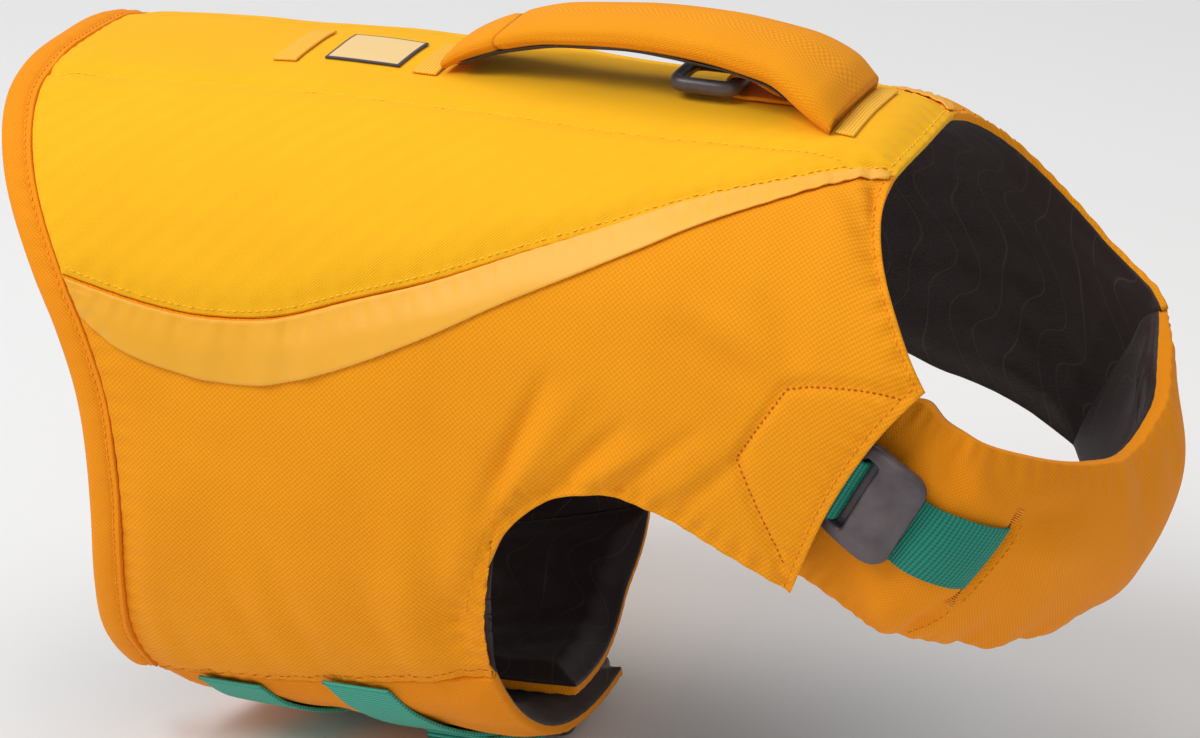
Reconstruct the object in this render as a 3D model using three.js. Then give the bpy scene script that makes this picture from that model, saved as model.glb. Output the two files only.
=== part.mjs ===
import * as THREE from 'three';

// Dog life jacket, filled out as if worn, in millimetres.
// +X points to the dog's head, +Y to its left side and +Z up. The origin is on the midline, on the
// inside of the back, where the wearer's back carries the jacket.

// Driving sizes
const SEAM_GAP = 0.3;           // between pieces that are sewn or lie together
const FOAM = 8.2;               // foam-filled wall of the back and sides
const FLAP_CLOTH = 2.4;         // the front flap, past the end of its foam
const LINING = 1.0;
const LINING_GAP = 0.9;         // the lining hangs a little clear of the foam
const SKIN = 0.9;               // satin, tape and label laid on a wall
const SKIN_GAP = 0.5;
const BELLY_FOAM = 10;
const BAND_FOAM = 14;           // the chest band at its thickest
const BINDING_WIDTH = 12;
const BINDING_UNDER = 3.4;      // how far it reaches inside from the middle of the wall
const WEBBING_WIDTH = 25;
const WEBBING = 1.6;
// A sewn edge draws the faces in by these shares of the wall, over this reach.
const PULL = { outer: 0.15, inner: 0.36, reach: 15, lining: 0.14, liningReach: 12 };
const FOAM_END_REACH = 9;       // the foam thins out over this much
const CHANNEL_GIRTH = 36;       // stitched channel beside the spine, from the midline
const CHANNEL_DEPTH = 1.2;
const CHANNEL_HALF_WIDTH = 4.5;

// Colours
const YELLOW = 0xfcb924;
const ORANGE = 0xf39c1a;
const SATIN = 0xefb02c;
const TAPE = 0xf0c04f;
const DARK = 0x241a18;
const TEAL = 0x1f8f7c;
const PLASTIC = 0x4f464a;
const LABEL = 0xe8d9b0;

// Outside of the filled-out jacket, one row for each upright section across it: the heights of its
// top, its underside and its widest place, half its width there, and how square it is above and below.
const BODY_COLUMNS = ['x', 'top', 'bottom', 'half', 'wide', 'upperPower', 'lowerPower'];
const BODY = [
  [-150, 4, -226, 92, -98, 2.6, 2.5],
  [-90, 6, -233, 95, -100, 2.6, 2.5],
  [-30, 9, -235, 96, -102, 2.6, 2.4],
  [40, 10, -234, 96, -104, 2.6, 2.3],
  [100, 10.5, -228, 95, -100, 2.6, 2.3],
  [140, 10.5, -216, 94, -95, 2.6, 2.3],
  [160, 9, -208, 93, -90, 2.6, 2.3],
  [175, 4.5, -202, 93, -86, 2.6, 2.3],
  [190, -4, -196, 93, -82, 2.7, 2.2],
  [210, -17, -187, 91, -80, 2.7, 2.2],
  [235, -38, -165, 83, -82, 2.5, 2.2],
  [255, -68, -135, 62, -90, 2.2, 2.2],
];
const GIRTH_STEPS = 96;

// Pattern lines, as rows of x and g. g is the girth, measured from the spine down the right side.
// The same line on the left side has g below zero.
const HEM = [[-149, 0], [-149, 28], [-146, 52], [-136, 82], [-119, 117], [-109, 137], [-102, 158],
  [-99, 180], [-99, 207], [-102, 235], [-105, 262], [-104, 291]];
const SEAM = [[-107, 117], [-95, 120], [-71, 125], [-52, 127], [-27, 125], [2, 115], [30, 105],
  [59, 92], [85, 80], [115, 64], [146, 50], [165, 38], [174.5, 33.5]];
const TRIM = [[-99.6, 130], [-83, 140], [-52, 148], [-30, 148], [-4, 140], [28, 125], [55, 110],
  [80, 97], [100, 86], [119, 75], [148, 58], [165, 44], [174.8, 38]];
const STITCHED_HEM = [[-92, 291], [-62, 286], [-31, 280], [10, 269], [33, 262], [48, 257]];
const ARMHOLE = [[48, 257], [43, 244], [41, 231], [46, 218], [52, 205], [58, 192], [68, 181],
  [79, 174.5], [97, 172], [116, 177], [138, 188], [158, 198]];
const ARMHOLE_LEFT = [[48, 257], [43, 244], [41, 231], [46, 218], [52, 205], [58, 192], [68, 181],
  [79, 174.5], [97, 172], [116, 176], [138, 182], [158, 187], [177, 188], [198, 188], [212, 186]];
const NECK_BACK = [[174.5, -33.5], [175.5, -18], [176, 0], [175.5, 18], [174.5, 33.5]];
const NECK_RIGHT = [[174.5, 33.5], [175.3, 51], [178.6, 65], [183.5, 77], [190, 88], [196, 97],
  [202, 104]];
const NECK_LEFT = [[174.5, 33.5], [177, 48], [182, 62], [188, 74], [195, 84], [205, 93],
  [218, 99], [231, 95], [243, 85]];
const FLAP_EDGE = [[202, 104], [186, 132], [172, 161], [158, 198]];
const LEFT_EDGE = [[243, 85], [212, 186]];
// Where the foam of the right side stops and the front flap goes on as cloth alone.
const FOAM_END = [[204, 110], [196, 109], [155, 123], [140, 151], [153, 182], [158, 200], [180, 190],
  [210, 140]];
// Belly flaps, which pass the middle of the belly and lie on each other there.
const BELLY_REAR = [[-92, 291], [-80, 335], [-62, 390]];
const BELLY_FRONT = [[48, 257], [52, 300], [56, 345], [57, 380]];
const BELLY_END = [[-62, 390], [0, 390], [57, 380]];
const BELLY_TUCK_START = 258;   // girth where the left flap starts to sink under the right one
const BELLY_TUCK_END = 304;
const BELLY_TUCK = BELLY_FOAM + LINING + 2 * LINING_GAP;

// Chest band, one row for each place along it from under the right flap to the left side's edge:
// its upper rim, its lower rim and how far its middle stands out between them.
const BAND_COLUMNS = ['upX', 'upY', 'upZ', 'downX', 'downY', 'downZ', 'bulge'];
const BAND = [
  [170, -80, -62, 138, -79, -122, 2],
  [198, -80, -58, 160, -76, -132, 4],
  [216, -77, -69, 179, -75, -144, 9],
  [233, -58, -81, 196, -60, -154, 12],
  [246, -30, -92, 213, -36, -164, 12],
  [252, 0, -98, 227, -6, -169, 13],
  [254, 30, -93, 235, 24, -166, 13],
  [250, 55, -85, 231, 52, -156, 12],
];

// Handle along its length: height of its middle, half its width and half its thickness.
const HANDLE_COLUMNS = ['x', 'z', 'half', 'thick'];
const HANDLE = [
  [4, 12, 14, 2.2],
  [11, 16.6, 14.3, 3.8],
  [24, 22.3, 14.8, 4.6],
  [45, 27.6, 16, 5],
  [75, 30.2, 17, 5.6],
  [100, 29.3, 18.5, 6.2],
  [125, 25.6, 21.5, 6.4],
  [140, 19.8, 24, 5.4],
  [148.5, 13.1, 24.5, 2.8],
];
const HANDLE_SEAM_X = 27;
const HANDLE_POWER = 2.8;       // how square its section is
const UNDER_CLOTH = { from: 9, to: 133, thick: 0.8, start: Math.PI * 1.12, end: Math.PI * 1.88 };

// Tapes and label across the back: where each starts and ends along it, and half its length.
const TAPE_COLUMNS = ['name', 'rear', 'front', 'half'];
const TAPES = [
  ['rear_tape', -58, -49, 17],
  ['handle_tape_rear', -6, 3, 16],
  ['handle_tape_front', 149.5, 156, 24],
];
const LABEL_PLACE = { rear: -40, front: -12, half: 13 };

// Leash ring, lying under the handle, and the webbing loop that its front bar turns in.
const RING = { x: 98.5, z: 15.5, length: 26, width: 28, bar: 4.4, tall: 5.4, power: 6 };
const PIVOT_X = RING.x + RING.length / 2 - RING.bar / 2;
const LOOP = { half: 7.6, front: 131, thick: 1.4, clear: 0.35, above: 2.2 };

// Chest strap on the band: its middle at the buckle and at the slit, in shares of the band's length
// and height.
const CHEST_STRAP = { from: [0.157, 0.452], to: [0.345, 0.43], height: 84 };
// Ladder-lock buckle, lying on that strap. Its rear bar and slot take the short webbing loop.
const BUCKLE = {
  at: [0.153, 0.445], length: 28.4, width: 37.6, thick: 4.1, corner: 7, bevel: 0.9,
  bar: 5, slot: 5, slotWidth: 27, lift: 2.6,
};
// Path of that loop round the bar: along the strap and up from the buckle's underside.
const BUCKLE_LOOP = [[-17.2, -0.9], [-11.7, -1.05], [-8.7, -0.4], [-7.9, 2], [-8.6, 4.5], [-10.7, 5.4],
  [-13.1, 5.3], [-15.3, 4.2], [-17.2, 1.9]];

// Belly straps on the pattern: where the middle of each leaves the sewn edge, and where it passes
// the buckle.
const STRAPS = [
  { name: 'rear', x: -60, seam: 286, middle: -32 },
  { name: 'front', x: -7, seam: 273, middle: 30 },
];
const CLIP = { from: 352, to: 398, width: 33, thick: 8, lift: 0.3 };
const TAIL = { from: 322, to: 345, layers: 3 };

const group = new THREE.Group();

function smooth(t) {
  const s = Math.min(Math.max(t, 0), 1);
  return s * s * (3 - 2 * s);
}

function material(color, roughness = 0.85, metalness = 0) {
  return new THREE.MeshStandardMaterial({ color, roughness, metalness, flatShading: true });
}

// Tables
// A monotone cubic through one column of a table whose first column rises.
function column(rows, index, x) {
  const last = rows.length - 2;
  let k = 0;
  while (k < last && x > rows[k + 1][0]) k += 1;
  const slope = (i) => (rows[i + 1][index] - rows[i][index]) / (rows[i + 1][0] - rows[i][0]);
  const tangent = (i) => {
    if (i === 0) return slope(0);
    if (i === rows.length - 1) return slope(i - 1);
    const before = slope(i - 1);
    const after = slope(i);
    return before * after <= 0 ? 0 : (2 * before * after) / (before + after);
  };
  const width = rows[k + 1][0] - rows[k][0];
  const t = (x - rows[k][0]) / width;
  return (
    (2 * t ** 3 - 3 * t ** 2 + 1) * rows[k][index] +
    (t ** 3 - 2 * t ** 2 + t) * width * tangent(k) +
    (3 * t ** 2 - 2 * t ** 3) * rows[k + 1][index] +
    (t ** 3 - t ** 2) * width * tangent(k + 1)
  );
}

function readRow(rows, names, x) {
  return Object.fromEntries(names.map((name, i) => [name, column(rows, i, x)]));
}

// Body surface
// Points of one half section from the spine to the middle of the belly, with their girths.
function halfSection(x) {
  const s = readRow(BODY, BODY_COLUMNS, x);
  const points = [];
  let girth = 0;
  for (let i = 0; i <= GIRTH_STEPS; i += 1) {
    const angle = (Math.PI * i) / GIRTH_STEPS;
    const upper = angle < Math.PI / 2;
    const power = 2 / (upper ? s.upperPower : s.lowerPower);
    const reach = upper ? s.top - s.wide : s.wide - s.bottom;
    const y = s.half * Math.sin(angle) ** power;
    const z = s.wide + reach * Math.sign(Math.cos(angle)) * Math.abs(Math.cos(angle)) ** power;
    const before = points[i - 1];
    if (before) girth += Math.hypot(y - before.y, z - before.z);
    points.push({ y: i === GIRTH_STEPS ? 0 : y, z, girth });
  }
  return points;
}

// The point at girth g, which may run on past the middle of the belly.
function bodyPoint(x, g) {
  const points = halfSection(x);
  const total = points[GIRTH_STEPS].girth;
  const past = Math.abs(g) > total;
  const along = past ? 2 * total - Math.abs(g) : Math.abs(g);
  let k = 1;
  while (k < GIRTH_STEPS && points[k].girth < along) k += 1;
  const a = points[k - 1];
  const b = points[k];
  const t = (along - a.girth) / (b.girth - a.girth);
  const side = (g > 0 ? -1 : 1) * (past ? -1 : 1);
  return new THREE.Vector3(x, side * (a.y + t * (b.y - a.y)), a.z + t * (b.z - a.z));
}

const NORMAL_STEP = 2.5;
function bodyNormal(x, g) {
  const alongX = bodyPoint(x + NORMAL_STEP, g).sub(bodyPoint(x - NORMAL_STEP, g));
  const alongG = bodyPoint(x, g + NORMAL_STEP).sub(bodyPoint(x, g - NORMAL_STEP));
  return alongX.cross(alongG).normalize().negate();
}

function body(x, g, lift) {
  return bodyPoint(x, g).addScaledVector(bodyNormal(x, g), lift);
}

// Pattern lines as functions of 0 to 1
function line(rows) {
  const curve = new THREE.CatmullRomCurve3(
    rows.map(([x, g]) => new THREE.Vector3(x, g, 0)), false, 'centripetal');
  return (t) => {
    const p = curve.getPointAt(t);
    return [p.x, p.y];
  };
}

// The part of a line between two girths.
function between(whole, from, to) {
  const find = (girth) => {
    let low = 0;
    let high = 1;
    for (let i = 0; i < 40; i += 1) {
      const middle = (low + high) / 2;
      if (whole(middle)[1] < girth) low = middle;
      else high = middle;
    }
    return low;
  };
  const start = find(from);
  const end = find(to);
  return (t) => whole(start + (end - start) * t);
}

// Lines one after the other, each over its own number of steps.
function chain(...parts) {
  const total = parts.reduce((sum, [, steps]) => sum + steps, 0);
  return (t) => {
    let step = t * total;
    let k = 0;
    while (k < parts.length - 1 && step > parts[k][1]) {
      step -= parts[k][1];
      k += 1;
    }
    return parts[k][0](step / parts[k][1]);
  };
}

const upTo = (whole, end) => (t) => whole(t * end);

// The same line, run through quickly as far as reach and slowly after it.
function paced(whole, share, reach) {
  return (t) => whole(t < share ? (reach * t) / share : reach + ((1 - reach) * (t - share)) / (1 - share));
}

const flipped = (whole) => (t) => [whole(t)[0], -whole(t)[1]];
const shifted = (whole, dx) => (t) => [whole(t)[0] + dx, whole(t)[1]];
const mirroredRows = (rows) => [...rows.slice(1).reverse().map(([x, g]) => [x, -g]), ...rows];

// A patch between four lines: top and low run forward, rear and front run from top to low.
function patch({ top, low, rear, front }) {
  const at = (u, v) => {
    const [t, l, r, f] = [top(u), low(u), rear(v), front(v)];
    const corners = [top(0), top(1), low(0), low(1)];
    return [0, 1].map((i) =>
      (1 - v) * t[i] + v * l[i] + (1 - u) * r[i] + u * f[i] -
      (1 - u) * (1 - v) * corners[0][i] - u * (1 - v) * corners[1][i] -
      (1 - u) * v * corners[2][i] - u * v * corners[3][i]);
  };
  const outline = [];
  const steps = 60;
  for (let i = 0; i < steps; i += 1) outline.push(top(i / steps));
  for (let i = 0; i < steps; i += 1) outline.push(front(i / steps));
  for (let i = steps; i > 0; i -= 1) outline.push(low(i / steps));
  for (let i = steps; i > 0; i -= 1) outline.push(rear(i / steps));
  return { at, outline };
}

// Distance from a point to a closed outline, and whether the point is inside it.
function distanceTo(outline, x, g) {
  let nearest = Infinity;
  let inside = false;
  outline.forEach(([bx, bg], i) => {
    const [ax, ag] = outline[(i + outline.length - 1) % outline.length];
    const dx = bx - ax;
    const dg = bg - ag;
    const t = Math.min(Math.max(((x - ax) * dx + (g - ag) * dg) / (dx * dx + dg * dg || 1), 0), 1);
    nearest = Math.min(nearest, Math.hypot(x - ax - t * dx, g - ag - t * dg));
    if (ag > g !== bg > g && x < ax + ((g - ag) * dx) / dg) inside = !inside;
  });
  return { nearest, inside };
}

// Solids
// A closed wall between an outer and an inner grid of points, with its rim closed.
function wall(name, colour, stepsU, stepsV, outer, inner, roughness) {
  const positions = [];
  const index = [];
  const columns = stepsV + 1;
  const layer = (stepsU + 1) * columns;
  [outer, inner].forEach((face) => {
    for (let i = 0; i <= stepsU; i += 1) {
      for (let j = 0; j <= stepsV; j += 1) positions.push(...face(i / stepsU, j / stepsV).toArray());
    }
  });
  const quad = (a, b, c, d) => index.push(a, b, c, a, c, d);
  for (let i = 0; i < stepsU; i += 1) {
    for (let j = 0; j < stepsV; j += 1) {
      const k = i * columns + j;
      quad(k, k + columns, k + columns + 1, k + 1);
      quad(layer + k, layer + k + 1, layer + k + columns + 1, layer + k + columns);
    }
  }
  const rim = [];
  for (let i = 0; i < stepsU; i += 1) rim.push(i * columns);
  for (let j = 0; j < stepsV; j += 1) rim.push(stepsU * columns + j);
  for (let i = stepsU; i > 0; i -= 1) rim.push(i * columns + stepsV);
  for (let j = stepsV; j > 0; j -= 1) rim.push(j);
  rim.forEach((a, k) => {
    const b = rim[(k + 1) % rim.length];
    quad(a, layer + a, layer + b, b);
  });
  return addSolid(name, colour, positions, index, roughness);
}

function addSolid(name, colour, positions, index, roughness) {
  const geometry = new THREE.BufferGeometry();
  let volume = 0;
  const corner = (k) => new THREE.Vector3().fromArray(positions, 3 * k);
  for (let k = 0; k < index.length; k += 3) {
    volume += corner(index[k]).dot(corner(index[k + 1]).cross(corner(index[k + 2])));
  }
  if (volume < 0) index.reverse();
  geometry.setAttribute('position', new THREE.Float32BufferAttribute(positions, 3));
  geometry.setIndex(index);
  return addMesh(name, colour, geometry, roughness);
}

function addMesh(name, colour, geometry, roughness = 0.85) {
  const mesh = new THREE.Mesh(geometry, material(colour, roughness));
  mesh.name = name;
  group.add(mesh);
  return mesh;
}

// A padded panel keeps to the body. Its faces draw in toward each other along its sewn edges.
function panel(shape, { foam = () => FOAM, sink = () => 0, relief = () => 0 } = {}) {
  const edge = (x, g, reach) => 1 - smooth(distanceTo(shape.outline, x, g).nearest / reach);
  const top = (x, g) =>
    relief(x, g) - sink(x, g) - foam(x, g, 0) * PULL.outer * edge(x, g, PULL.reach);
  const under = (x, g) => -sink(x, g) - foam(x, g, 0) * (1 - PULL.inner * edge(x, g, PULL.reach));
  const lined = (x, g) =>
    -sink(x, g) - foam(x, g, FOAM_END_REACH) * (1 - PULL.lining * edge(x, g, PULL.liningReach));
  return { shape, top, under, lined };
}

// Keeps a piece half a seam's gap inside its lines.
function inset(shape, u, v) {
  const [ax, ag] = shape.at(0.5, 0.5);
  const [bx, bg] = shape.at(u, v);
  const far = Math.hypot(bx - ax, bg - ag) || 1;
  const near = u * (1 - u) * v * (1 - v) === 0 ? SEAM_GAP * 0.7 : 0;
  return [bx + ((ax - bx) * near) / far, bg + ((ag - bg) * near) / far];
}

function addPanel(name, colour, stepsU, stepsV, made) {
  const face = (height) => (u, v) => {
    const [x, g] = inset(made.shape, u, v);
    return body(x, g, height(x, g));
  };
  return wall(name, colour, stepsU, stepsV, face(made.top), face(made.under));
}

// A lining has half the steps of its panel.
function addLining(name, stepsU, stepsV, made) {
  const face = (depth) => (u, v) => {
    const [x, g] = inset(made.shape, u, v);
    return body(x, g, made.lined(x, g) - depth);
  };
  wall(name, DARK, stepsU / 2, stepsV / 2, face(LINING_GAP), face(LINING_GAP + LINING), 0.6);
}

// A thin piece laid on a panel.
function addSkin(name, colour, stepsU, stepsV, shape, under, thick = SKIN, roughness = 0.7) {
  const face = (lift) => (u, v) => {
    const [x, g] = shape.at(u, v);
    return body(x, g, under(x, g) + lift);
  };
  wall(name, colour, stepsU, stepsV, face(SKIN_GAP + thick), face(SKIN_GAP), roughness);
}

// Panels
// Steps along the lines that two pieces share, so that their edges follow each other.
const STEPS = { seam: 22, back: 20, side: 12, stitched: 12, armhole: 22, armholeLeft: 26, belly: 12 };

const hem = line(mirroredRows(HEM));
const hemInner = shifted(hem, BINDING_WIDTH);
const seam = line(SEAM);
const seamGirth = SEAM[0][1];
const cornerGirth = STITCHED_HEM[0][1];
const straight = (rows) => (t) => rows[0].map((a, i) => a + (rows[1][i] - a) * t);

const backShape = patch({
  top: flipped(seam),
  low: seam,
  rear: between(hemInner, -seamGirth, seamGirth),
  front: line(NECK_BACK),
});
const channel = (x, g) =>
  -CHANNEL_DEPTH * Math.exp(-(((Math.abs(g) - CHANNEL_GIRTH) / CHANNEL_HALF_WIDTH) ** 2));
const back = panel(backShape, { relief: channel });
addPanel('back_panel', YELLOW, STEPS.seam, STEPS.back, back);
addLining('lining_back', STEPS.seam, STEPS.back, back);

const flapFoam = (x, g, further) => {
  const { nearest, inside } = distanceTo(FOAM_END, x, g);
  const outside = (inside ? -nearest : nearest) + further;
  return FLAP_CLOTH + (FOAM - FLAP_CLOTH) * smooth(0.5 + outside / FOAM_END_REACH);
};
const rightShape = patch({
  top: chain([seam, STEPS.seam], [line(NECK_RIGHT), STEPS.stitched + STEPS.armhole - STEPS.seam]),
  low: chain([line(STITCHED_HEM), STEPS.stitched], [paced(line(ARMHOLE), 0.22, 0.42), STEPS.armhole]),
  rear: between(hemInner, seamGirth, cornerGirth),
  front: line(FLAP_EDGE),
});
const right = panel(rightShape, { foam: flapFoam });
addPanel('side_right', ORANGE, STEPS.stitched + STEPS.armhole, STEPS.side, right);

// Its lining stops at the foam's end, behind the end of the chest band.
const neckLined = upTo(line(NECK_RIGHT), 0.5);
const armholeLined = upTo(line(ARMHOLE), 0.84);
const rightLined = patch({
  top: chain([seam, STEPS.seam], [neckLined, STEPS.stitched + STEPS.armhole - STEPS.seam]),
  low: chain([line(STITCHED_HEM), STEPS.stitched], [armholeLined, STEPS.armhole]),
  rear: between(hemInner, seamGirth, cornerGirth),
  front: straight([neckLined(1), armholeLined(1)]),
});
addLining('lining_right', STEPS.stitched + STEPS.armhole, STEPS.side, { ...right, shape: rightLined });

const leftShape = patch({
  top: flipped(chain([seam, STEPS.seam],
    [line(NECK_LEFT), STEPS.stitched + STEPS.armholeLeft - STEPS.seam])),
  low: flipped(chain([line(STITCHED_HEM), STEPS.stitched],
    [paced(line(ARMHOLE_LEFT), 0.2, 0.36), STEPS.armholeLeft])),
  rear: flipped(between(hemInner, seamGirth, cornerGirth)),
  front: flipped(straight(LEFT_EDGE)),
});
const left = panel(leftShape);
addPanel('side_left', ORANGE, STEPS.stitched + STEPS.armholeLeft, STEPS.side, left);
addLining('lining_left', STEPS.stitched + STEPS.armholeLeft, STEPS.side, left);

// Satin trim under the yellow seam, on each side
[['trim_right', (f) => f, right], ['trim_left', flipped, left]].forEach(([name, turn, under]) => {
  const lower = line(TRIM);
  const rear = (t) => [0, 1].map((i) => SEAM[0][i] + 0.6 + (TRIM[0][i] - SEAM[0][i]) * t);
  const front = (t) => [SEAM.at(-1)[0] - 0.6, SEAM.at(-1)[1] + (TRIM.at(-1)[1] - SEAM.at(-1)[1]) * t];
  const band = patch({ top: seam, low: lower, rear, front });
  const shape = { at: (u, v) => turn(() => band.at(0.004 + 0.992 * u, 0.02 + 0.98 * v))(0) };
  addSkin(name, SATIN, STEPS.seam, 2, shape, under.top, SKIN, 0.35);
});

// Tape bound round the rear edge
const wholeHem = (edge) => chain(
  [between(edge, -cornerGirth, -seamGirth), STEPS.side],
  [between(edge, -seamGirth, seamGirth), STEPS.back],
  [between(edge, seamGirth, cornerGirth), STEPS.side]);
const bindingShape = patch({
  top: wholeHem(hem),
  low: wholeHem(hemInner),
  rear: straight([[HEM.at(-1)[0], -cornerGirth], STITCHED_HEM[0].map((a, i) => (i ? -a : a))]),
  front: straight([HEM.at(-1), STITCHED_HEM[0]]),
});

const bindingRound = (v) => Math.sqrt(1 - 0.8 * (2 * v - 1) ** 2);
wall('hem_binding', ORANGE, 2 * STEPS.side + STEPS.back, 3, (u, v) => {
  const [x, g] = inset(bindingShape, u, v);
  return body(x, g, -FOAM / 2 + (FOAM / 2) * bindingRound(v));
}, (u, v) => {
  const [x, g] = inset(bindingShape, u, v);
  return body(x, g, -FOAM / 2 - BINDING_UNDER * bindingRound(v));
});

// Belly flaps
const bellyLines = {
  top: line(STITCHED_HEM), low: line(BELLY_END), rear: line(BELLY_REAR), front: line(BELLY_FRONT),
};
const bellyFoam = () => BELLY_FOAM;
const bellyRight = panel(patch(bellyLines), { foam: bellyFoam });
addPanel('belly_right', ORANGE, STEPS.stitched, STEPS.belly, bellyRight);
addLining('lining_belly_right', STEPS.stitched, STEPS.belly, bellyRight);

const tuck = (x, g) => BELLY_TUCK * smooth((-g - BELLY_TUCK_START) / (BELLY_TUCK_END - BELLY_TUCK_START));
const flippedLines = Object.fromEntries(Object.entries(bellyLines).map(([key, f]) => [key, flipped(f)]));
const bellyLeft = panel(patch(flippedLines), { foam: bellyFoam, sink: tuck });
addPanel('belly_left', ORANGE, STEPS.stitched, STEPS.belly, bellyLeft);
addLining('lining_belly_left', STEPS.stitched, STEPS.belly, bellyLeft);

// Chest band
// Its last row follows the left side's edge.
const BAND_END = [[243.4, -84.9], [212.4, -186.3]];
const BAND_JOIN = 0.8;
const endPoint = (t) => body(...straight(BAND_END)(t), 0);
const bandTable = [...BAND, [...endPoint(0).toArray(), ...endPoint(1).toArray(), BAND.at(-1).at(-1)]];
const bandRows = bandTable.map((row, i) => [i / (bandTable.length - 1), ...row]);
function bandLine(s, t) {
  const row = Object.fromEntries(BAND_COLUMNS.map((name, i) => [name, column(bandRows, i + 1, s)]));
  const up = new THREE.Vector3(row.upX, row.upY, row.upZ);
  const down = new THREE.Vector3(row.downX, row.downY, row.downZ);
  return { point: up.lerp(down, t), bulge: row.bulge * 4 * t * (1 - t) };
}
function bandFlatNormal(s, t) {
  const step = 0.01;
  const a = bandLine(Math.max(s - step, 0), t).point;
  const b = bandLine(Math.min(s + step, 1), t).point;
  const down = bandLine(s, 1).point.sub(bandLine(s, 0).point);
  return b.sub(a).cross(down).normalize().negate();
}
function bandPoint(s, t) {
  const { point, bulge } = bandLine(s, t);
  const free = point.clone().addScaledVector(bandFlatNormal(s, t), bulge);
  const sewn = endPoint(t).add(point).sub(bandLine(1, t).point);
  return free.lerp(sewn, smooth((s - BAND_JOIN) / (1 - BAND_JOIN)));
}
function bandNormal(s, t) {
  const step = 0.02;
  const alongS = bandPoint(Math.min(s + step, 1), t).sub(bandPoint(Math.max(s - step, 0), t));
  const alongT = bandPoint(s, Math.min(t + step, 1)).sub(bandPoint(s, Math.max(t - step, 0)));
  const free = alongS.cross(alongT).normalize().negate();
  const sewn = bodyNormal(...straight(BAND_END)(t));
  return free.lerp(sewn, smooth((s - BAND_JOIN) / (1 - BAND_JOIN))).normalize();
}
const bandThick = (s, t) => {
  const round = Math.sqrt(1 - 0.86 * (2 * t - 1) ** 4);
  const ends = 0.55 + 0.45 * smooth(s / 0.22) * smooth((1 - s) / 0.1);
  return BAND_FOAM * round * ends;
};
const band = (s, t, lift) => bandPoint(s, t).addScaledVector(bandNormal(s, t), lift);
const bandTop = (s, t) => -0.22 * (BAND_FOAM - bandThick(s, t));
wall('chest_band', ORANGE, 28, 8,
  (u, v) => band(u, v, bandTop(u, v)),
  (u, v) => band(u, v, bandTop(u, v) - bandThick(u, v)));
const liningDepth = (u, v) => bandTop(u, v) - bandThick(u, v) - LINING_GAP;
wall('lining_chest', DARK, 14, 8,
  (u, v) => band(u, v, liningDepth(u, v)),
  (u, v) => band(u, v, liningDepth(u, v) - LINING), 0.6);

// Pieces laid on the back
const onBack = (x, g) => back.top(x, g);
const rectangle = (rear, front, half) => ({
  at: (u, v) => [rear + (front - rear) * u, half * (2 * v - 1)],
});
TAPES.forEach((row) => {
  const tape = Object.fromEntries(TAPE_COLUMNS.map((name, i) => [name, row[i]]));
  addSkin(tape.name, TAPE, 2, 8, rectangle(tape.rear, tape.front, tape.half), onBack);
});
addSkin('label', LABEL, 4, 4, rectangle(LABEL_PLACE.rear, LABEL_PLACE.front, LABEL_PLACE.half), onBack);

// Lofts
// A closed body through rings of points, from at(0) to at(1), with flat caps.
function loft(name, colour, steps, sides, at, roughness) {
  const positions = [];
  const index = [];
  for (let i = 0; i <= steps; i += 1) {
    for (let j = 0; j < sides; j += 1) {
      positions.push(...at(i / steps, (2 * Math.PI * j) / sides).toArray());
    }
  }
  for (let i = 0; i < steps; i += 1) {
    for (let j = 0; j < sides; j += 1) {
      const a = i * sides + j;
      const b = i * sides + ((j + 1) % sides);
      index.push(a, b, b + sides, a, b + sides, a + sides);
    }
  }
  for (let j = 1; j < sides - 1; j += 1) {
    index.push(0, j + 1, j);
    index.push(steps * sides, steps * sides + j, steps * sides + j + 1);
  }
  return addSolid(name, colour, positions, index, roughness);
}

const signedPower = (value, power) => Math.sign(value) * Math.abs(value) ** power;

// Handle
function handlePoint(x, angle, lift = 0) {
  const row = readRow(HANDLE, HANDLE_COLUMNS, x);
  const slope = (column(HANDLE, 1, x + 1) - column(HANDLE, 1, x - 1)) / 2;
  const across = (row.half + lift) * signedPower(Math.cos(angle), 2 / HANDLE_POWER);
  const out = (row.thick + lift) * signedPower(Math.sin(angle), 2 / HANDLE_POWER);
  const tilt = Math.atan(slope);
  return new THREE.Vector3(x - out * Math.sin(tilt), -across, row.z + out * Math.cos(tilt));
}
const handlePiece = (name, from, to, steps) =>
  loft(name, ORANGE, steps, 16, (u, angle) => handlePoint(from + (to - from) * u, angle));
const [handleStart, handleEnd] = [HANDLE[0][0], HANDLE.at(-1)[0]];
handlePiece('handle_end_rear', handleStart, HANDLE_SEAM_X, 4);
handlePiece('handle_grip', HANDLE_SEAM_X + SEAM_GAP, handleEnd, 12);
const underFace = (lift) => (u, v) => handlePoint(
  UNDER_CLOTH.from + (UNDER_CLOTH.to - UNDER_CLOTH.from) * u,
  UNDER_CLOTH.start + (UNDER_CLOTH.end - UNDER_CLOTH.start) * v, lift);
wall('handle_under', DARK, 12, 4, underFace(SKIN_GAP + UNDER_CLOTH.thick), underFace(SKIN_GAP));

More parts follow.
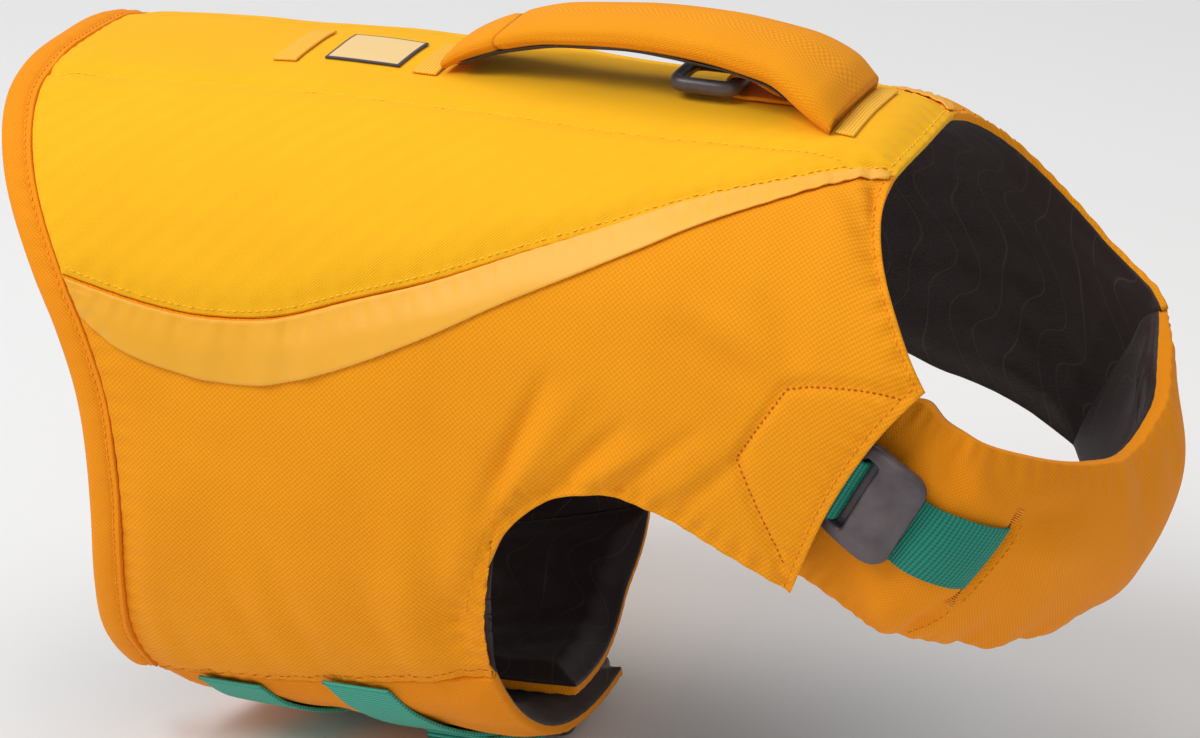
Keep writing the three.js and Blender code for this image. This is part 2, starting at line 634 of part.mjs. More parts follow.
// Leash ring
function closedTube(name, colour, steps, sides, { across, tall }, centre) {
  const positions = [];
  const index = [];
  for (let i = 0; i < steps; i += 1) {
    const here = centre(i / steps);
    const along = centre((i + 0.5) / steps).sub(centre((i - 0.5) / steps)).normalize();
    const up = new THREE.Vector3(0, 0, 1);
    const out = along.clone().cross(up).normalize();
    for (let j = 0; j < sides; j += 1) {
      const angle = (2 * Math.PI * (j + 0.5)) / sides;
      const p = here.clone().addScaledVector(out, (across / 2) * Math.cos(angle));
      positions.push(...p.addScaledVector(up, (tall / 2) * Math.sin(angle)).toArray());
    }
  }
  for (let i = 0; i < steps; i += 1) {
    for (let j = 0; j < sides; j += 1) {
      const [a, b] = [i * sides + j, i * sides + ((j + 1) % sides)];
      const [c, d] = [a, b].map((k) => (k + sides) % (steps * sides));
      index.push(a, b, d, a, d, c);
    }
  }
  return addSolid(name, colour, positions, index, 0.45);
}
closedTube('leash_ring', PLASTIC, 36, 8, { across: RING.bar, tall: RING.tall }, (t) => {
  const angle = 2 * Math.PI * t;
  return new THREE.Vector3(
    RING.x + (RING.length / 2 - RING.bar / 2) * signedPower(Math.cos(angle), 2 / RING.power),
    (RING.width / 2 - RING.bar / 2) * signedPower(Math.sin(angle), 2 / RING.power),
    RING.z);
});

// A strip of webbing that follows a path in an upright plane. The path gives points and the
// direction across it.
function strip(name, colour, steps, across, half, thick, path) {
  const face = (side) => (u, v) => {
    const along = path(Math.min(u + 0.004, 1)).sub(path(Math.max(u - 0.004, 0))).normalize();
    const normal = along.cross(across).normalize();
    return path(u).addScaledVector(across, half * (2 * v - 1)).addScaledVector(normal, (side * thick) / 2);
  };
  return wall(name, colour, steps, 1, face(1), face(-1));
}

// The ring's webbing loop: over the bar, round it, and back along the back panel.
const loopRadius = RING.tall / 2 + LOOP.clear + LOOP.thick / 2;
const at = (x, z) => new THREE.Vector3(x, 0, z);
const loopCurve = new THREE.CatmullRomCurve3([
  at(LOOP.front, RING.z - loopRadius + LOOP.above),
  at(PIVOT_X + 14, RING.z - loopRadius + LOOP.above + 0.6),
  at(PIVOT_X + 6, RING.z + loopRadius - 1.2),
  at(PIVOT_X, RING.z + loopRadius),
  at(PIVOT_X - loopRadius * Math.SQRT1_2, RING.z + loopRadius * Math.SQRT1_2),
  at(PIVOT_X - loopRadius, RING.z),
  at(PIVOT_X - loopRadius * Math.SQRT1_2, RING.z - loopRadius * Math.SQRT1_2),
  at(PIVOT_X, RING.z - loopRadius),
  at(PIVOT_X + 8, RING.z - loopRadius),
  at(LOOP.front, RING.z - loopRadius),
]);
const acrossJacket = new THREE.Vector3(0, 1, 0);
strip('ring_loop', ORANGE, 30, acrossJacket, LOOP.half, LOOP.thick, (t) => loopCurve.getPointAt(t));

// Chest strap, buckle and loop
const chestT = (s) => CHEST_STRAP.from[1] +
  ((CHEST_STRAP.to[1] - CHEST_STRAP.from[1]) * (s - CHEST_STRAP.from[0])) /
  (CHEST_STRAP.to[0] - CHEST_STRAP.from[0]);
const chestFace = (lift) => (u, v) => {
  const s = CHEST_STRAP.from[0] + (CHEST_STRAP.to[0] - CHEST_STRAP.from[0]) * u;
  const t = chestT(s) + ((v - 0.5) * WEBBING_WIDTH) / CHEST_STRAP.height;
  return band(s, t, bandTop(s, t) + lift);
};
wall('chest_strap', TEAL, 14, 4, chestFace(SKIN_GAP + WEBBING), chestFace(SKIN_GAP));

const buckleAt = band(...BUCKLE.at, bandTop(...BUCKLE.at) + BUCKLE.lift);
const buckleUp = bandNormal(...BUCKLE.at);
const aheadS = BUCKLE.at[0] + 0.03;
const aheadT = BUCKLE.at[1] + chestT(aheadS) - chestT(BUCKLE.at[0]);
const buckleAlong = band(aheadS, aheadT, 0).sub(band(...BUCKLE.at, 0));
buckleAlong.addScaledVector(buckleUp, -buckleAlong.dot(buckleUp)).normalize();
const buckleAcross = buckleUp.clone().cross(buckleAlong);
const buckleFrame = new THREE.Matrix4().makeBasis(buckleAlong, buckleAcross, buckleUp);
buckleFrame.setPosition(buckleAt);

function roundedOutline(path, length, width, corner) {
  const [a, b] = [length / 2, width / 2];
  path.moveTo(-a + corner, -b);
  path.lineTo(a - corner, -b);
  path.absarc(a - corner, -b + corner, corner, -Math.PI / 2, 0);
  path.lineTo(a, b - corner);
  path.absarc(a - corner, b - corner, corner, 0, Math.PI / 2);
  path.lineTo(-a + corner, b);
  path.absarc(-a + corner, b - corner, corner, Math.PI / 2, Math.PI);
  path.lineTo(-a, -b + corner);
  path.absarc(-a + corner, -b + corner, corner, Math.PI, 1.5 * Math.PI);
  return path;
}

function plate(size, hole) {
  const { length, width, corner, bevel, thick } = size;
  const outline = roundedOutline(new THREE.Shape(), length - 2 * bevel, width - 2 * bevel, corner - bevel);
  if (hole) outline.holes.push(hole);
  const geometry = new THREE.ExtrudeGeometry(outline, {
    depth: thick - 2 * bevel, bevelThickness: bevel, bevelSize: bevel, bevelSegments: 1, curveSegments: 3,
  });
  return geometry.translate(0, 0, bevel);
}

const slotRear = -BUCKLE.length / 2 + BUCKLE.bar - BUCKLE.bevel;
const slotFront = -BUCKLE.length / 2 + BUCKLE.bar + BUCKLE.slot + BUCKLE.bevel;
const slotHalf = BUCKLE.slotWidth / 2 + BUCKLE.bevel;
const slot = new THREE.Path();
slot.moveTo(slotRear, -slotHalf);
slot.lineTo(slotRear, slotHalf);
slot.lineTo(slotFront, slotHalf);
slot.lineTo(slotFront, -slotHalf);
addMesh('chest_buckle', PLASTIC, plate(BUCKLE, slot).applyMatrix4(buckleFrame), 0.45);

const onBuckle = ([a, h]) =>
  buckleAt.clone().addScaledVector(buckleAlong, a).addScaledVector(buckleUp, h);
const loopPath = new THREE.CatmullRomCurve3(BUCKLE_LOOP.map(onBuckle), false, 'centripetal');
strip('chest_loop', TEAL, 26, buckleAcross, WEBBING_WIDTH / 2, WEBBING - 0.1,
  (t) => loopPath.getPointAt(t));

// Belly straps, each in two lengths with a fastened side-release buckle between them
// Pattern girths run down the right side, under the belly and on up the left side.
function strapPoint(strap, g, across, lift) {
  const total = halfSection(strap.middle)[GIRTH_STEPS].girth;
  const mirrored = g > CLIP.to;
  const from = mirrored ? 2 * total - g : g;
  const clip = mirrored ? 2 * total - CLIP.to : CLIP.from;
  const share = (from - strap.seam) / (clip - strap.seam);
  const x = strap.x + (strap.middle - strap.x) * Math.min(share, 1) + across;
  const sewn = 1 - smooth((from - strap.seam) / PULL.reach);
  return body(x, mirrored ? -from : from, lift - FOAM * PULL.outer * sewn);
}
const strapFace = (strap, from, to, lift) => (u, v) =>
  strapPoint(strap, from + (to - from) * u, WEBBING_WIDTH * (v - 0.5), lift);
STRAPS.forEach((strap) => {
  const farSeam = 2 * halfSection(strap.middle)[GIRTH_STEPS].girth - strap.seam;
  [['right', strap.seam, CLIP.from - SEAM_GAP], ['left', CLIP.to + SEAM_GAP, farSeam]].forEach(
    ([side, from, to]) => wall(`belly_strap_${strap.name}_${side}`, TEAL, 10, 2,
      strapFace(strap, from, to, SKIN_GAP + WEBBING), strapFace(strap, from, to, SKIN_GAP)));
  const clip = { length: CLIP.to - CLIP.from, width: CLIP.width, corner: 6, bevel: 1.5, thick: CLIP.thick };
  const middle = (CLIP.from + CLIP.to) / 2;
  const place = body(strap.middle, middle, CLIP.lift);
  const up = bodyNormal(strap.middle, middle);
  const along = body(strap.middle, middle + 5, 0).sub(body(strap.middle, middle - 5, 0)).normalize();
  const frame = new THREE.Matrix4().makeBasis(along, up.clone().cross(along), up).setPosition(place);
  addMesh(`belly_buckle_${strap.name}`, PLASTIC, plate(clip).applyMatrix4(frame), 0.45);
});
const tailLift = SKIN_GAP + WEBBING + SEAM_GAP;
const tailTop = tailLift + TAIL.layers * WEBBING;
wall('strap_tail', TEAL, 4, 2,
  strapFace(STRAPS[1], TAIL.from, TAIL.to, tailTop), strapFace(STRAPS[1], TAIL.from, TAIL.to, tailLift));

export default group;
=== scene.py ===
"""Looks of a dog life jacket, filled out as if worn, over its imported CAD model.

Sizes are in millimetres on the jacket and in metres in Blender. +X points to the dog's head,
+Y to its left side and +Z up.
"""

import math

import bmesh
import bpy
import numpy as np
from mathutils import Matrix, Vector


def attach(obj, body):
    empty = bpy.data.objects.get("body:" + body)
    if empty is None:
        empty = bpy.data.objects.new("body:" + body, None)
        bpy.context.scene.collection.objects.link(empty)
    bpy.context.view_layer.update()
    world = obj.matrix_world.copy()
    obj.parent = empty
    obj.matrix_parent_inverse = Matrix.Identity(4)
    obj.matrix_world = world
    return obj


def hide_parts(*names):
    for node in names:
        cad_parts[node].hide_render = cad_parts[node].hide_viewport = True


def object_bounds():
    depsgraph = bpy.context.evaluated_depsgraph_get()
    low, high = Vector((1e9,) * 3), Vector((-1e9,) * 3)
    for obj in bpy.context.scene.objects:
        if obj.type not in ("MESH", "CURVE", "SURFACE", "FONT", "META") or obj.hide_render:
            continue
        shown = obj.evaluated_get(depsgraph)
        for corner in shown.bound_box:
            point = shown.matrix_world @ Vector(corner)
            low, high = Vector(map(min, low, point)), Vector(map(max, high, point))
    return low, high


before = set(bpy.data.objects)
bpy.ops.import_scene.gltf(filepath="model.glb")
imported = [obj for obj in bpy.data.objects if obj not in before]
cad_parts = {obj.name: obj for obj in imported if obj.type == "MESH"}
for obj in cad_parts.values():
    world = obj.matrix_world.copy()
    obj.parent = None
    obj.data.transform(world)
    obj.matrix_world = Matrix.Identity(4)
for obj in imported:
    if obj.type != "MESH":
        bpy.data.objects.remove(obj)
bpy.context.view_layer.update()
MM = 0.001

# Camera
AZIMUTH = math.radians(21)
ELEVATION = math.radians(22.5)
TARGET = Vector((0.057, 0, -0.098))
DISTANCE = 1.6
FOCAL_LENGTH = 136.8
toward_camera = Vector((
    math.sin(AZIMUTH) * math.cos(ELEVATION),
    -math.cos(AZIMUTH) * math.cos(ELEVATION),
    math.sin(ELEVATION),
))
camera_data = bpy.data.cameras.new("camera")
camera_data.lens = FOCAL_LENGTH
camera_data.sensor_width = 36
camera = bpy.data.objects.new("camera", camera_data)
camera.location = TARGET + DISTANCE * toward_camera
camera.rotation_euler = toward_camera.to_track_quat("Z", "Y").to_euler()
bpy.context.scene.collection.objects.link(camera)
bpy.context.scene.camera = camera

# Thicknesses
FOAM = 8.2
FLAP_CLOTH = 2.4
FOAM_END_REACH = 9
BELLY_FOAM = 10
BAND_FOAM = 14
BINDING_WIDTH = 12
WEBBING_WIDTH = 25
WEBBING = 1.6
SKIN_GAP = 0.3
LINING_DROP = 1.6               # the lining's face below the foam

# How far the faces are drawn in along a sewn edge, as shares of the wall, over this reach
PULL_OUTER = 0.2
PULL_INNER = 0.42
PULL_REACH = 13

# Outside of the filled-out body, one row for each upright section across it
BODY_COLUMNS = ("x", "top", "bottom", "half", "wide", "upper_power", "lower_power")
BODY = np.array([
    [-150, 4, -226, 92, -98, 2.6, 2.5],
    [-90, 6, -233, 95, -100, 2.6, 2.5],
    [-30, 9, -235, 96, -102, 2.6, 2.4],
    [40, 10, -234, 96, -104, 2.6, 2.3],
    [100, 10.5, -228, 95, -100, 2.6, 2.3],
    [140, 10.5, -216, 94, -95, 2.6, 2.3],
    [160, 9, -208, 93, -90, 2.6, 2.3],
    [175, 4.5, -202, 93, -86, 2.6, 2.3],
    [190, -4, -196, 93, -82, 2.7, 2.2],
    [210, -17, -187, 91, -80, 2.7, 2.2],
    [235, -38, -165, 83, -82, 2.5, 2.2],
    [255, -68, -135, 62, -90, 2.2, 2.2],
])
GIRTH_STEPS = 96

# Pattern lines, as rows of x and g, where g is the girth from the spine down the right side
HEM = [[-149, 0], [-149, 28], [-146, 52], [-136, 82], [-119, 117], [-109, 137], [-102, 158],
       [-99, 180], [-99, 207], [-102, 235], [-105, 262], [-104, 291]]
SEAM = [[-107, 117], [-95, 120], [-71, 125], [-52, 127], [-27, 125], [2, 115], [30, 105],
        [59, 92], [85, 80], [115, 64], [146, 50], [165, 38], [174.5, 33.5]]
TRIM = [[-99.6, 130], [-83, 140], [-52, 148], [-30, 148], [-4, 140], [28, 125], [55, 110],
        [80, 97], [100, 86], [119, 75], [148, 58], [165, 44], [174.8, 38]]
STITCHED_HEM = [[-92, 291], [-62, 286], [-31, 280], [10, 269], [33, 262], [48, 257]]
ARMHOLE = [[48, 257], [43, 244], [41, 231], [46, 218], [52, 205], [58, 192], [68, 181],
           [79, 174.5], [97, 172], [116, 177], [138, 188], [158, 198]]
ARMHOLE_LEFT = [[48, 257], [43, 244], [41, 231], [46, 218], [52, 205], [58, 192], [68, 181],
                [79, 174.5], [97, 172], [116, 176], [138, 182], [158, 187], [177, 188],
                [198, 188], [212, 186]]
NECK_BACK = [[174.5, -33.5], [175.5, -18], [176, 0], [175.5, 18], [174.5, 33.5]]
NECK_RIGHT = [[174.5, 33.5], [175.3, 51], [178.6, 65], [183.5, 77], [190, 88], [196, 97],
              [202, 104]]
NECK_LEFT = [[174.5, 33.5], [177, 48], [182, 62], [188, 74], [195, 84], [205, 93],
             [218, 99], [231, 95], [243, 85]]
FLAP_EDGE = [[202, 104], [186, 132], [172, 161], [158, 198]]
LEFT_EDGE = [[243, 85], [212, 186]]
FOAM_END = [[204, 110], [196, 109], [155, 123], [140, 151], [153, 182], [158, 200], [180, 190],
            [210, 140]]
BELLY_REAR = [[-92, 291], [-80, 335], [-62, 390]]
BELLY_FRONT = [[48, 257], [52, 300], [56, 345], [57, 380]]
BELLY_END = [[-62, 390], [0, 390], [57, 380]]
BELLY_TUCK = 12.8               # how deep the left flap lies under the right one
BELLY_TUCK_START = 258
BELLY_TUCK_END = 304

# Chest band: upper rim, lower rim and how far its middle stands out, along it
BAND_COLUMNS = ("up_x", "up_y", "up_z", "down_x", "down_y", "down_z", "bulge")
BAND = [
    [170, -80, -62, 138, -79, -122, 2],
    [198, -80, -58, 160, -76, -132, 4],
    [216, -77, -69, 179, -75, -144, 9],
    [233, -58, -81, 196, -60, -154, 12],
    [246, -30, -92, 213, -36, -164, 12],
    [252, 0, -98, 227, -6, -169, 13],
    [254, 30, -93, 235, 24, -166, 13],
    [250, 55, -85, 231, 52, -156, 12],
]
BAND_END = [[243.4, -84.9], [212.4, -186.3]]
BAND_JOIN = 0.8

# Handle along its length: x, height of its middle, half its width and half its thickness
HANDLE = np.array([
    [4, 12, 14, 2.2],
    [11, 16.6, 14.3, 3.8],
    [24, 22.3, 14.8, 4.6],
    [45, 27.6, 16, 5],
    [75, 30.2, 17, 5.6],
    [100, 29.3, 18.5, 6.2],
    [125, 25.6, 21.5, 6.4],
    [140, 19.8, 24, 5.4],
    [148.5, 13.1, 24.5, 2.8],
])
HANDLE_ENDS = (4, 148.5)
HANDLE_SEAM_X = 27
HANDLE_BOW = -3.5               # x of its cross seam on the sides, from its x on the top
HANDLE_PATTERN = 19             # its pattern's width for each radian round it
HANDLE_POWER = 2.8

RING = {"x": 98.5, "z": 15.5, "length": 26, "width": 28, "bar": 4.4, "tall": 5.4, "power": 6}
PIVOT_X = RING["x"] + RING["length"] / 2 - RING["bar"] / 2

STRAP_LIFT = 0.5                # how far the belly straps stand off the body
CHEST_STRAP_FROM = (0.157, 0.452)
CHEST_STRAP_TO = (0.345, 0.43)
CHEST_STRAP_HEIGHT = 84
BUCKLE = {"at": (0.153, 0.445), "length": 28.4, "width": 37.6, "thick": 4.1, "lift": 2.6}
STRAPS = {
    "rear": {"x": -60, "seam": 286, "middle": -32},
    "front": {"x": -7, "seam": 273, "middle": 30},
}
CLIP = {"from": 352, "to": 398, "half": 16.5, "thick": 8, "lift": 0.3}
TAIL = {"from": 322, "to": 345, "layers": 3}
LABEL_PLACE = (-40, -12, 13)    # its rear and front end and half its width


# Numbers
def smooth(t):
    """Goes from 0 to 1 with level ends as t does."""
    s = np.clip(t, 0, 1)
    return s * s * (3 - 2 * s)


def bell(distance, width):
    return np.exp(-((distance / width) ** 2))


def column(rows, index, x):
    """A monotone cubic through one column of a table whose first column rises."""
    knots, values = rows[:, 0], rows[:, index]
    slopes = np.diff(values) / np.diff(knots)
    before, after = slopes[:-1], slopes[1:]
    total = np.where(before + after == 0, 1, before + after)
    inner = np.where(before * after <= 0, 0, 2 * before * after / total)
    tangents = np.concatenate([slopes[:1], inner, slopes[-1:]])
    k = np.clip(np.searchsorted(knots, x) - 1, 0, len(knots) - 2)
    width = knots[k + 1] - knots[k]
    t = (x - knots[k]) / width
    return (
        (2 * t**3 - 3 * t**2 + 1) * values[k]
        + (t**3 - 2 * t**2 + t) * width * tangents[k]
        + (3 * t**2 - 2 * t**3) * values[k + 1]
        + (t**3 - t**2) * width * tangents[k + 1]
    )


def wander(x, g, length, seed):
    """Soft unevenness between -1 and 1, about length across."""
    rng = np.random.default_rng(seed)
    total = np.zeros(np.broadcast(x, g).shape)
    for _ in range(7):
        angle = rng.uniform(0, 2 * np.pi)
        wave = 2 * np.pi / (length * rng.uniform(0.7, 1.6))
        total += np.sin(wave * (x * np.cos(angle) + g * np.sin(angle)) + rng.uniform(0, 2 * np.pi))
    return total / 4


def grid(rows, columns, low=0.0, high=1.0):
    """Shares from 0 to 1 down the rows of a grid and from low to high across its columns."""
    return np.meshgrid(np.linspace(0, 1, rows), np.linspace(low, high, columns), indexing="ij")


def run_lengths(points):
    """How far along a row of points each of them is."""
    return np.concatenate([[0], np.cumsum(np.linalg.norm(np.diff(points, axis=0), axis=1))])


def turned_rings(angle, side, up, width=1.0, height=1.0):
    """Rings of points round each of a row of spots, from its directions to the side and up."""
    return (width * np.cos(angle)[None, :, None] * side[:, None]
            + height * np.sin(angle)[None, :, None] * up[:, None])


def unit(vectors):
    return vectors / np.maximum(np.linalg.norm(vectors, axis=-1, keepdims=True), 1e-9)


# Body surface
def body_point(x, g):
    """Points of the body at x and girth g, which may run on past the middle of the belly."""
    x, g = np.broadcast_arrays(np.asarray(x, float), np.asarray(g, float))
    shape = x.shape
    x, g = x.ravel(), g.ravel()
    row = {name: column(BODY, i, x)[:, None] for i, name in enumerate(BODY_COLUMNS) if i}
    angle = np.pi * np.arange(GIRTH_STEPS + 1) / GIRTH_STEPS
    upper = angle < np.pi / 2
    power = 2 / np.where(upper, row["upper_power"], row["lower_power"])
    reach = np.where(upper, row["top"] - row["wide"], row["wide"] - row["bottom"])
    y = row["half"] * np.abs(np.sin(angle)) ** power
    y[:, -1] = 0
    z = row["wide"] + reach * np.sign(np.cos(angle)) * np.abs(np.cos(angle)) ** power
    girth = np.zeros(y.shape)
    girth[:, 1:] = np.cumsum(np.hypot(np.diff(y, axis=1), np.diff(z, axis=1)), axis=1)
    whole = girth[:, -1]
    past = np.abs(g) > whole
    along = np.where(past, 2 * whole - np.abs(g), np.abs(g))
    k = np.clip((girth < along[:, None]).sum(axis=1), 1, GIRTH_STEPS)
    i = np.arange(len(x))
    t = (along - girth[i, k - 1]) / (girth[i, k] - girth[i, k - 1])
    side = np.where(g > 0, -1, 1) * np.where(past, -1, 1)
    points = np.stack([
        x,
        side * (y[i, k - 1] + t * (y[i, k] - y[i, k - 1])),
        z[i, k - 1] + t * (z[i, k] - z[i, k - 1]),
    ], axis=1)
    return points.reshape(*shape, 3)


def body_normal(x, g, step=2.5):
    along_x = body_point(x + step, g) - body_point(x - step, g)
    along_g = body_point(x, g + step) - body_point(x, g - step)
    return -unit(np.cross(along_x, along_g))


def body(x, g, lift):
    """Points that stand lift off the body, where lift is one number or one for each point."""
    x, g = np.broadcast_arrays(np.asarray(x, float), np.asarray(g, float))
    return body_point(x, g) + np.asarray(lift)[..., None] * body_normal(x, g)


def belly_girth(x):
    """Girth from the spine to the middle of the belly, where the body crosses to the left."""
    girths = np.linspace(300, 420, 2401)
    return girths[np.argmax(body_point(np.full(2401, x), girths)[:, 1] > 0)]


# Pattern lines, as functions from shares along them to rows of x and g
def spline(rows, pieces=24):
    """Points of a centripetal spline through rows of numbers."""
    rows = np.array(rows, float)
    ends = np.vstack([2 * rows[0] - rows[1], rows, 2 * rows[-1] - rows[-2]])
    pace = np.maximum(np.linalg.norm(np.diff(ends, axis=0), axis=1) ** 0.5, 1e-6)
    t = np.linspace(0, 1, pieces, endpoint=False)[:, None]
    out = []
    for i in range(1, len(ends) - 2):
        a, b, c, d = ends[i - 1], ends[i], ends[i + 1], ends[i + 2]
        p, q, r = pace[i - 1], pace[i], pace[i + 1]
        start = q * ((b - a) / p - (c - a) / (p + q) + (c - b) / q)
        end = q * ((c - b) / q - (d - b) / (q + r) + (d - c) / r)
        out.append(
            (2 * t**3 - 3 * t**2 + 1) * b + (t**3 - 2 * t**2 + t) * start
            + (3 * t**2 - 2 * t**3) * c + (t**3 - t**2) * end
        )
    return np.vstack([*out, rows[-1:]])


def run_along(points):
    """The function that runs along a row of points at an even pace."""
    lengths = run_lengths(points)
    shares = lengths / lengths[-1]
    return lambda t: np.stack([np.interp(t, shares, points[:, i]) for i in range(points.shape[1])], -1)


def line(rows):
    return run_along(spline(rows))


def between(whole, low, high):
    """The part of a line between two girths."""
    t = np.linspace(0, 1, 3001)
    start, end = np.interp([low, high], whole(t)[:, 1], t)
    return lambda share: whole(start + (end - start) * share)


def chain(*parts):
    """Lines one after the other, each over its own share of steps."""
    steps = np.array([count for _, count in parts], float)
    starts = np.concatenate([[0], np.cumsum(steps)]) / steps.sum()

    def at(t):
        t = np.asarray(t, float)
        k = np.clip(np.searchsorted(starts, t) - 1, 0, len(parts) - 1)
        out = np.zeros((*t.shape, 2))
        for i, (part, _) in enumerate(parts):
            here = k == i
            out[here] = part((t[here] - starts[i]) / (starts[i + 1] - starts[i]))
        return out

    return at


def paced(whole, share, reach):
    """The same line, run through quickly as far as reach and slowly after it."""
    return lambda t: whole(np.interp(t, [0, share, 1], [0, reach, 1]))


def flipped(whole):
    return lambda t: whole(t) * np.array([1, -1])


def shifted(whole, dx):
    return lambda t: whole(t) + np.array([dx, 0])


def mirrored_rows(rows):
    return [[x, -g] for x, g in rows[:0:-1]] + rows


class Patch:
    """A piece of the pattern between four lines: top and low run forward, rear and front down."""

    def __init__(self, top, low, rear, front):
        self.sides = (top, low, rear, front)
        t = np.linspace(0, 1, 61)
        self.outline = np.vstack([top(t)[:-1], front(t)[:-1], low(t)[:0:-1], rear(t)[:0:-1]])

    def at(self, u, v):
        top, low, rear, front = self.sides
        u, v = np.broadcast_arrays(u, v)
        ends = np.array([0.0, 1.0])
        (a, b), (c, d) = top(ends), low(ends)
        mu, mv = u[..., None], v[..., None]
        return (
            (1 - mv) * top(u) + mv * low(u) + (1 - mu) * rear(v) + mu * front(v)
            - (1 - mu) * (1 - mv) * a - mu * (1 - mv) * b - (1 - mu) * mv * c - mu * mv * d
        )


def from_line(points, x, g, closed=True):
    """For each x and g: its distance to a line, and how far along the line its nearest point is."""
    starts = np.roll(points, 1, axis=0) if closed else points[:-1]
    ends = points if closed else points[1:]
    steps = ends - starts
    lengths = np.linalg.norm(steps, axis=1)
    along = np.cumsum(lengths) - lengths
    shape = np.broadcast(x, g).shape
    spots = np.stack(np.broadcast_arrays(x, g), -1).reshape(-1, 2)
    nearest = np.full(len(spots), 1e9)
    place = np.zeros(len(spots))
    for start, step, length, before in zip(starts, steps, lengths, along):
        if length == 0:
            continue
        t = np.clip((spots - start) @ step / length**2, 0, 1)
        distance = np.linalg.norm(spots - start - t[:, None] * step, axis=1)
        closer = distance < nearest
        nearest = np.where(closer, distance, nearest)
        place = np.where(closer, before + t * length, place)
    return nearest.reshape(shape), place.reshape(shape)


def inside(points, x, g):
    """Whether each x and g lies inside a closed line."""
    found = np.zeros(np.broadcast(x, g).shape, bool)
    for (ax, ag), (bx, bg) in zip(np.roll(points, 1, axis=0), points):
        if ag != bg:
            crosses = ((ag > g) != (bg > g)) & (x < ax + (g - ag) * (bx - ax) / (bg - ag))
            found ^= crosses
    return found


# Meshes
def add_mesh(name, points, faces, materials, uv=None, parts=None, rides="jacket", stands_for=()):
    """A smooth piece from points in millimetres. parts gives each face's material."""
    mesh = bpy.data.meshes.new(name)
    mesh.from_pydata((np.asarray(points) * MM).tolist(), [], [list(f) for f in faces])
    for material in materials:
        mesh.materials.append(material)
    mesh.polygons.foreach_set("use_smooth", [True] * len(mesh.polygons))
    if parts is not None:
        mesh.polygons.foreach_set("material_index", np.asarray(parts, int).tolist())
    if uv is not None:
        corners = np.zeros(len(mesh.loops), int)
        mesh.loops.foreach_get("vertex_index", corners)
        layer = mesh.uv_layers.new(name="pattern")
        layer.data.foreach_set("uv", np.asarray(uv, float)[corners].ravel())
    mesh.validate()
    piece = bpy.data.objects.new(name, mesh)
    bpy.context.scene.collection.objects.link(piece)
    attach(piece, rides)
    if stands_for:
        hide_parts(*stands_for)
    return piece


def turned_out(points, faces):
    """The faces of a closed form, turned so that they face outward."""
    a, b, c = (points[faces[:, i]] for i in range(3))
    volume = np.einsum("ij,ij->", a, np.cross(b, c))
    if faces.shape[1] == 4:
        volume += np.einsum("ij,ij->", a, np.cross(c, points[faces[:, 3]]))
    return faces if volume > 0 else faces[:, ::-1]


def grid_faces(rows, columns, start=0):
    i, j = np.meshgrid(np.arange(rows - 1), np.arange(columns - 1), indexing="ij")
    k = start + (i * columns + j).ravel()
    return np.stack([k, k + columns, k + columns + 1, k + 1], axis=1)


def round_faces(rows, sides, rings):
    """Faces between rings of points that are sides round. The last may run on to the first."""
    i, j = np.meshgrid(np.arange(rows), np.arange(sides), indexing="ij")
    here, beyond = i * sides, (i + 1) % rings * sides
    next_j = (j + 1) % sides
    corners = here + j, here + next_j, beyond + next_j, beyond + j
    return np.stack([corner.ravel() for corner in corners], axis=1)


def rim_ring(rows, columns):
    """Row and column of each point round the edge of a grid."""
    i = [*range(rows - 1), *[rows - 1] * (columns - 1), *range(rows - 1, 0, -1), *[0] * (columns - 1)]
    j = [*[0] * (rows - 1), *range(columns - 1), *[columns - 1] * (rows - 1), *range(columns - 1, 0, -1)]
    return np.array(i), np.array(j)


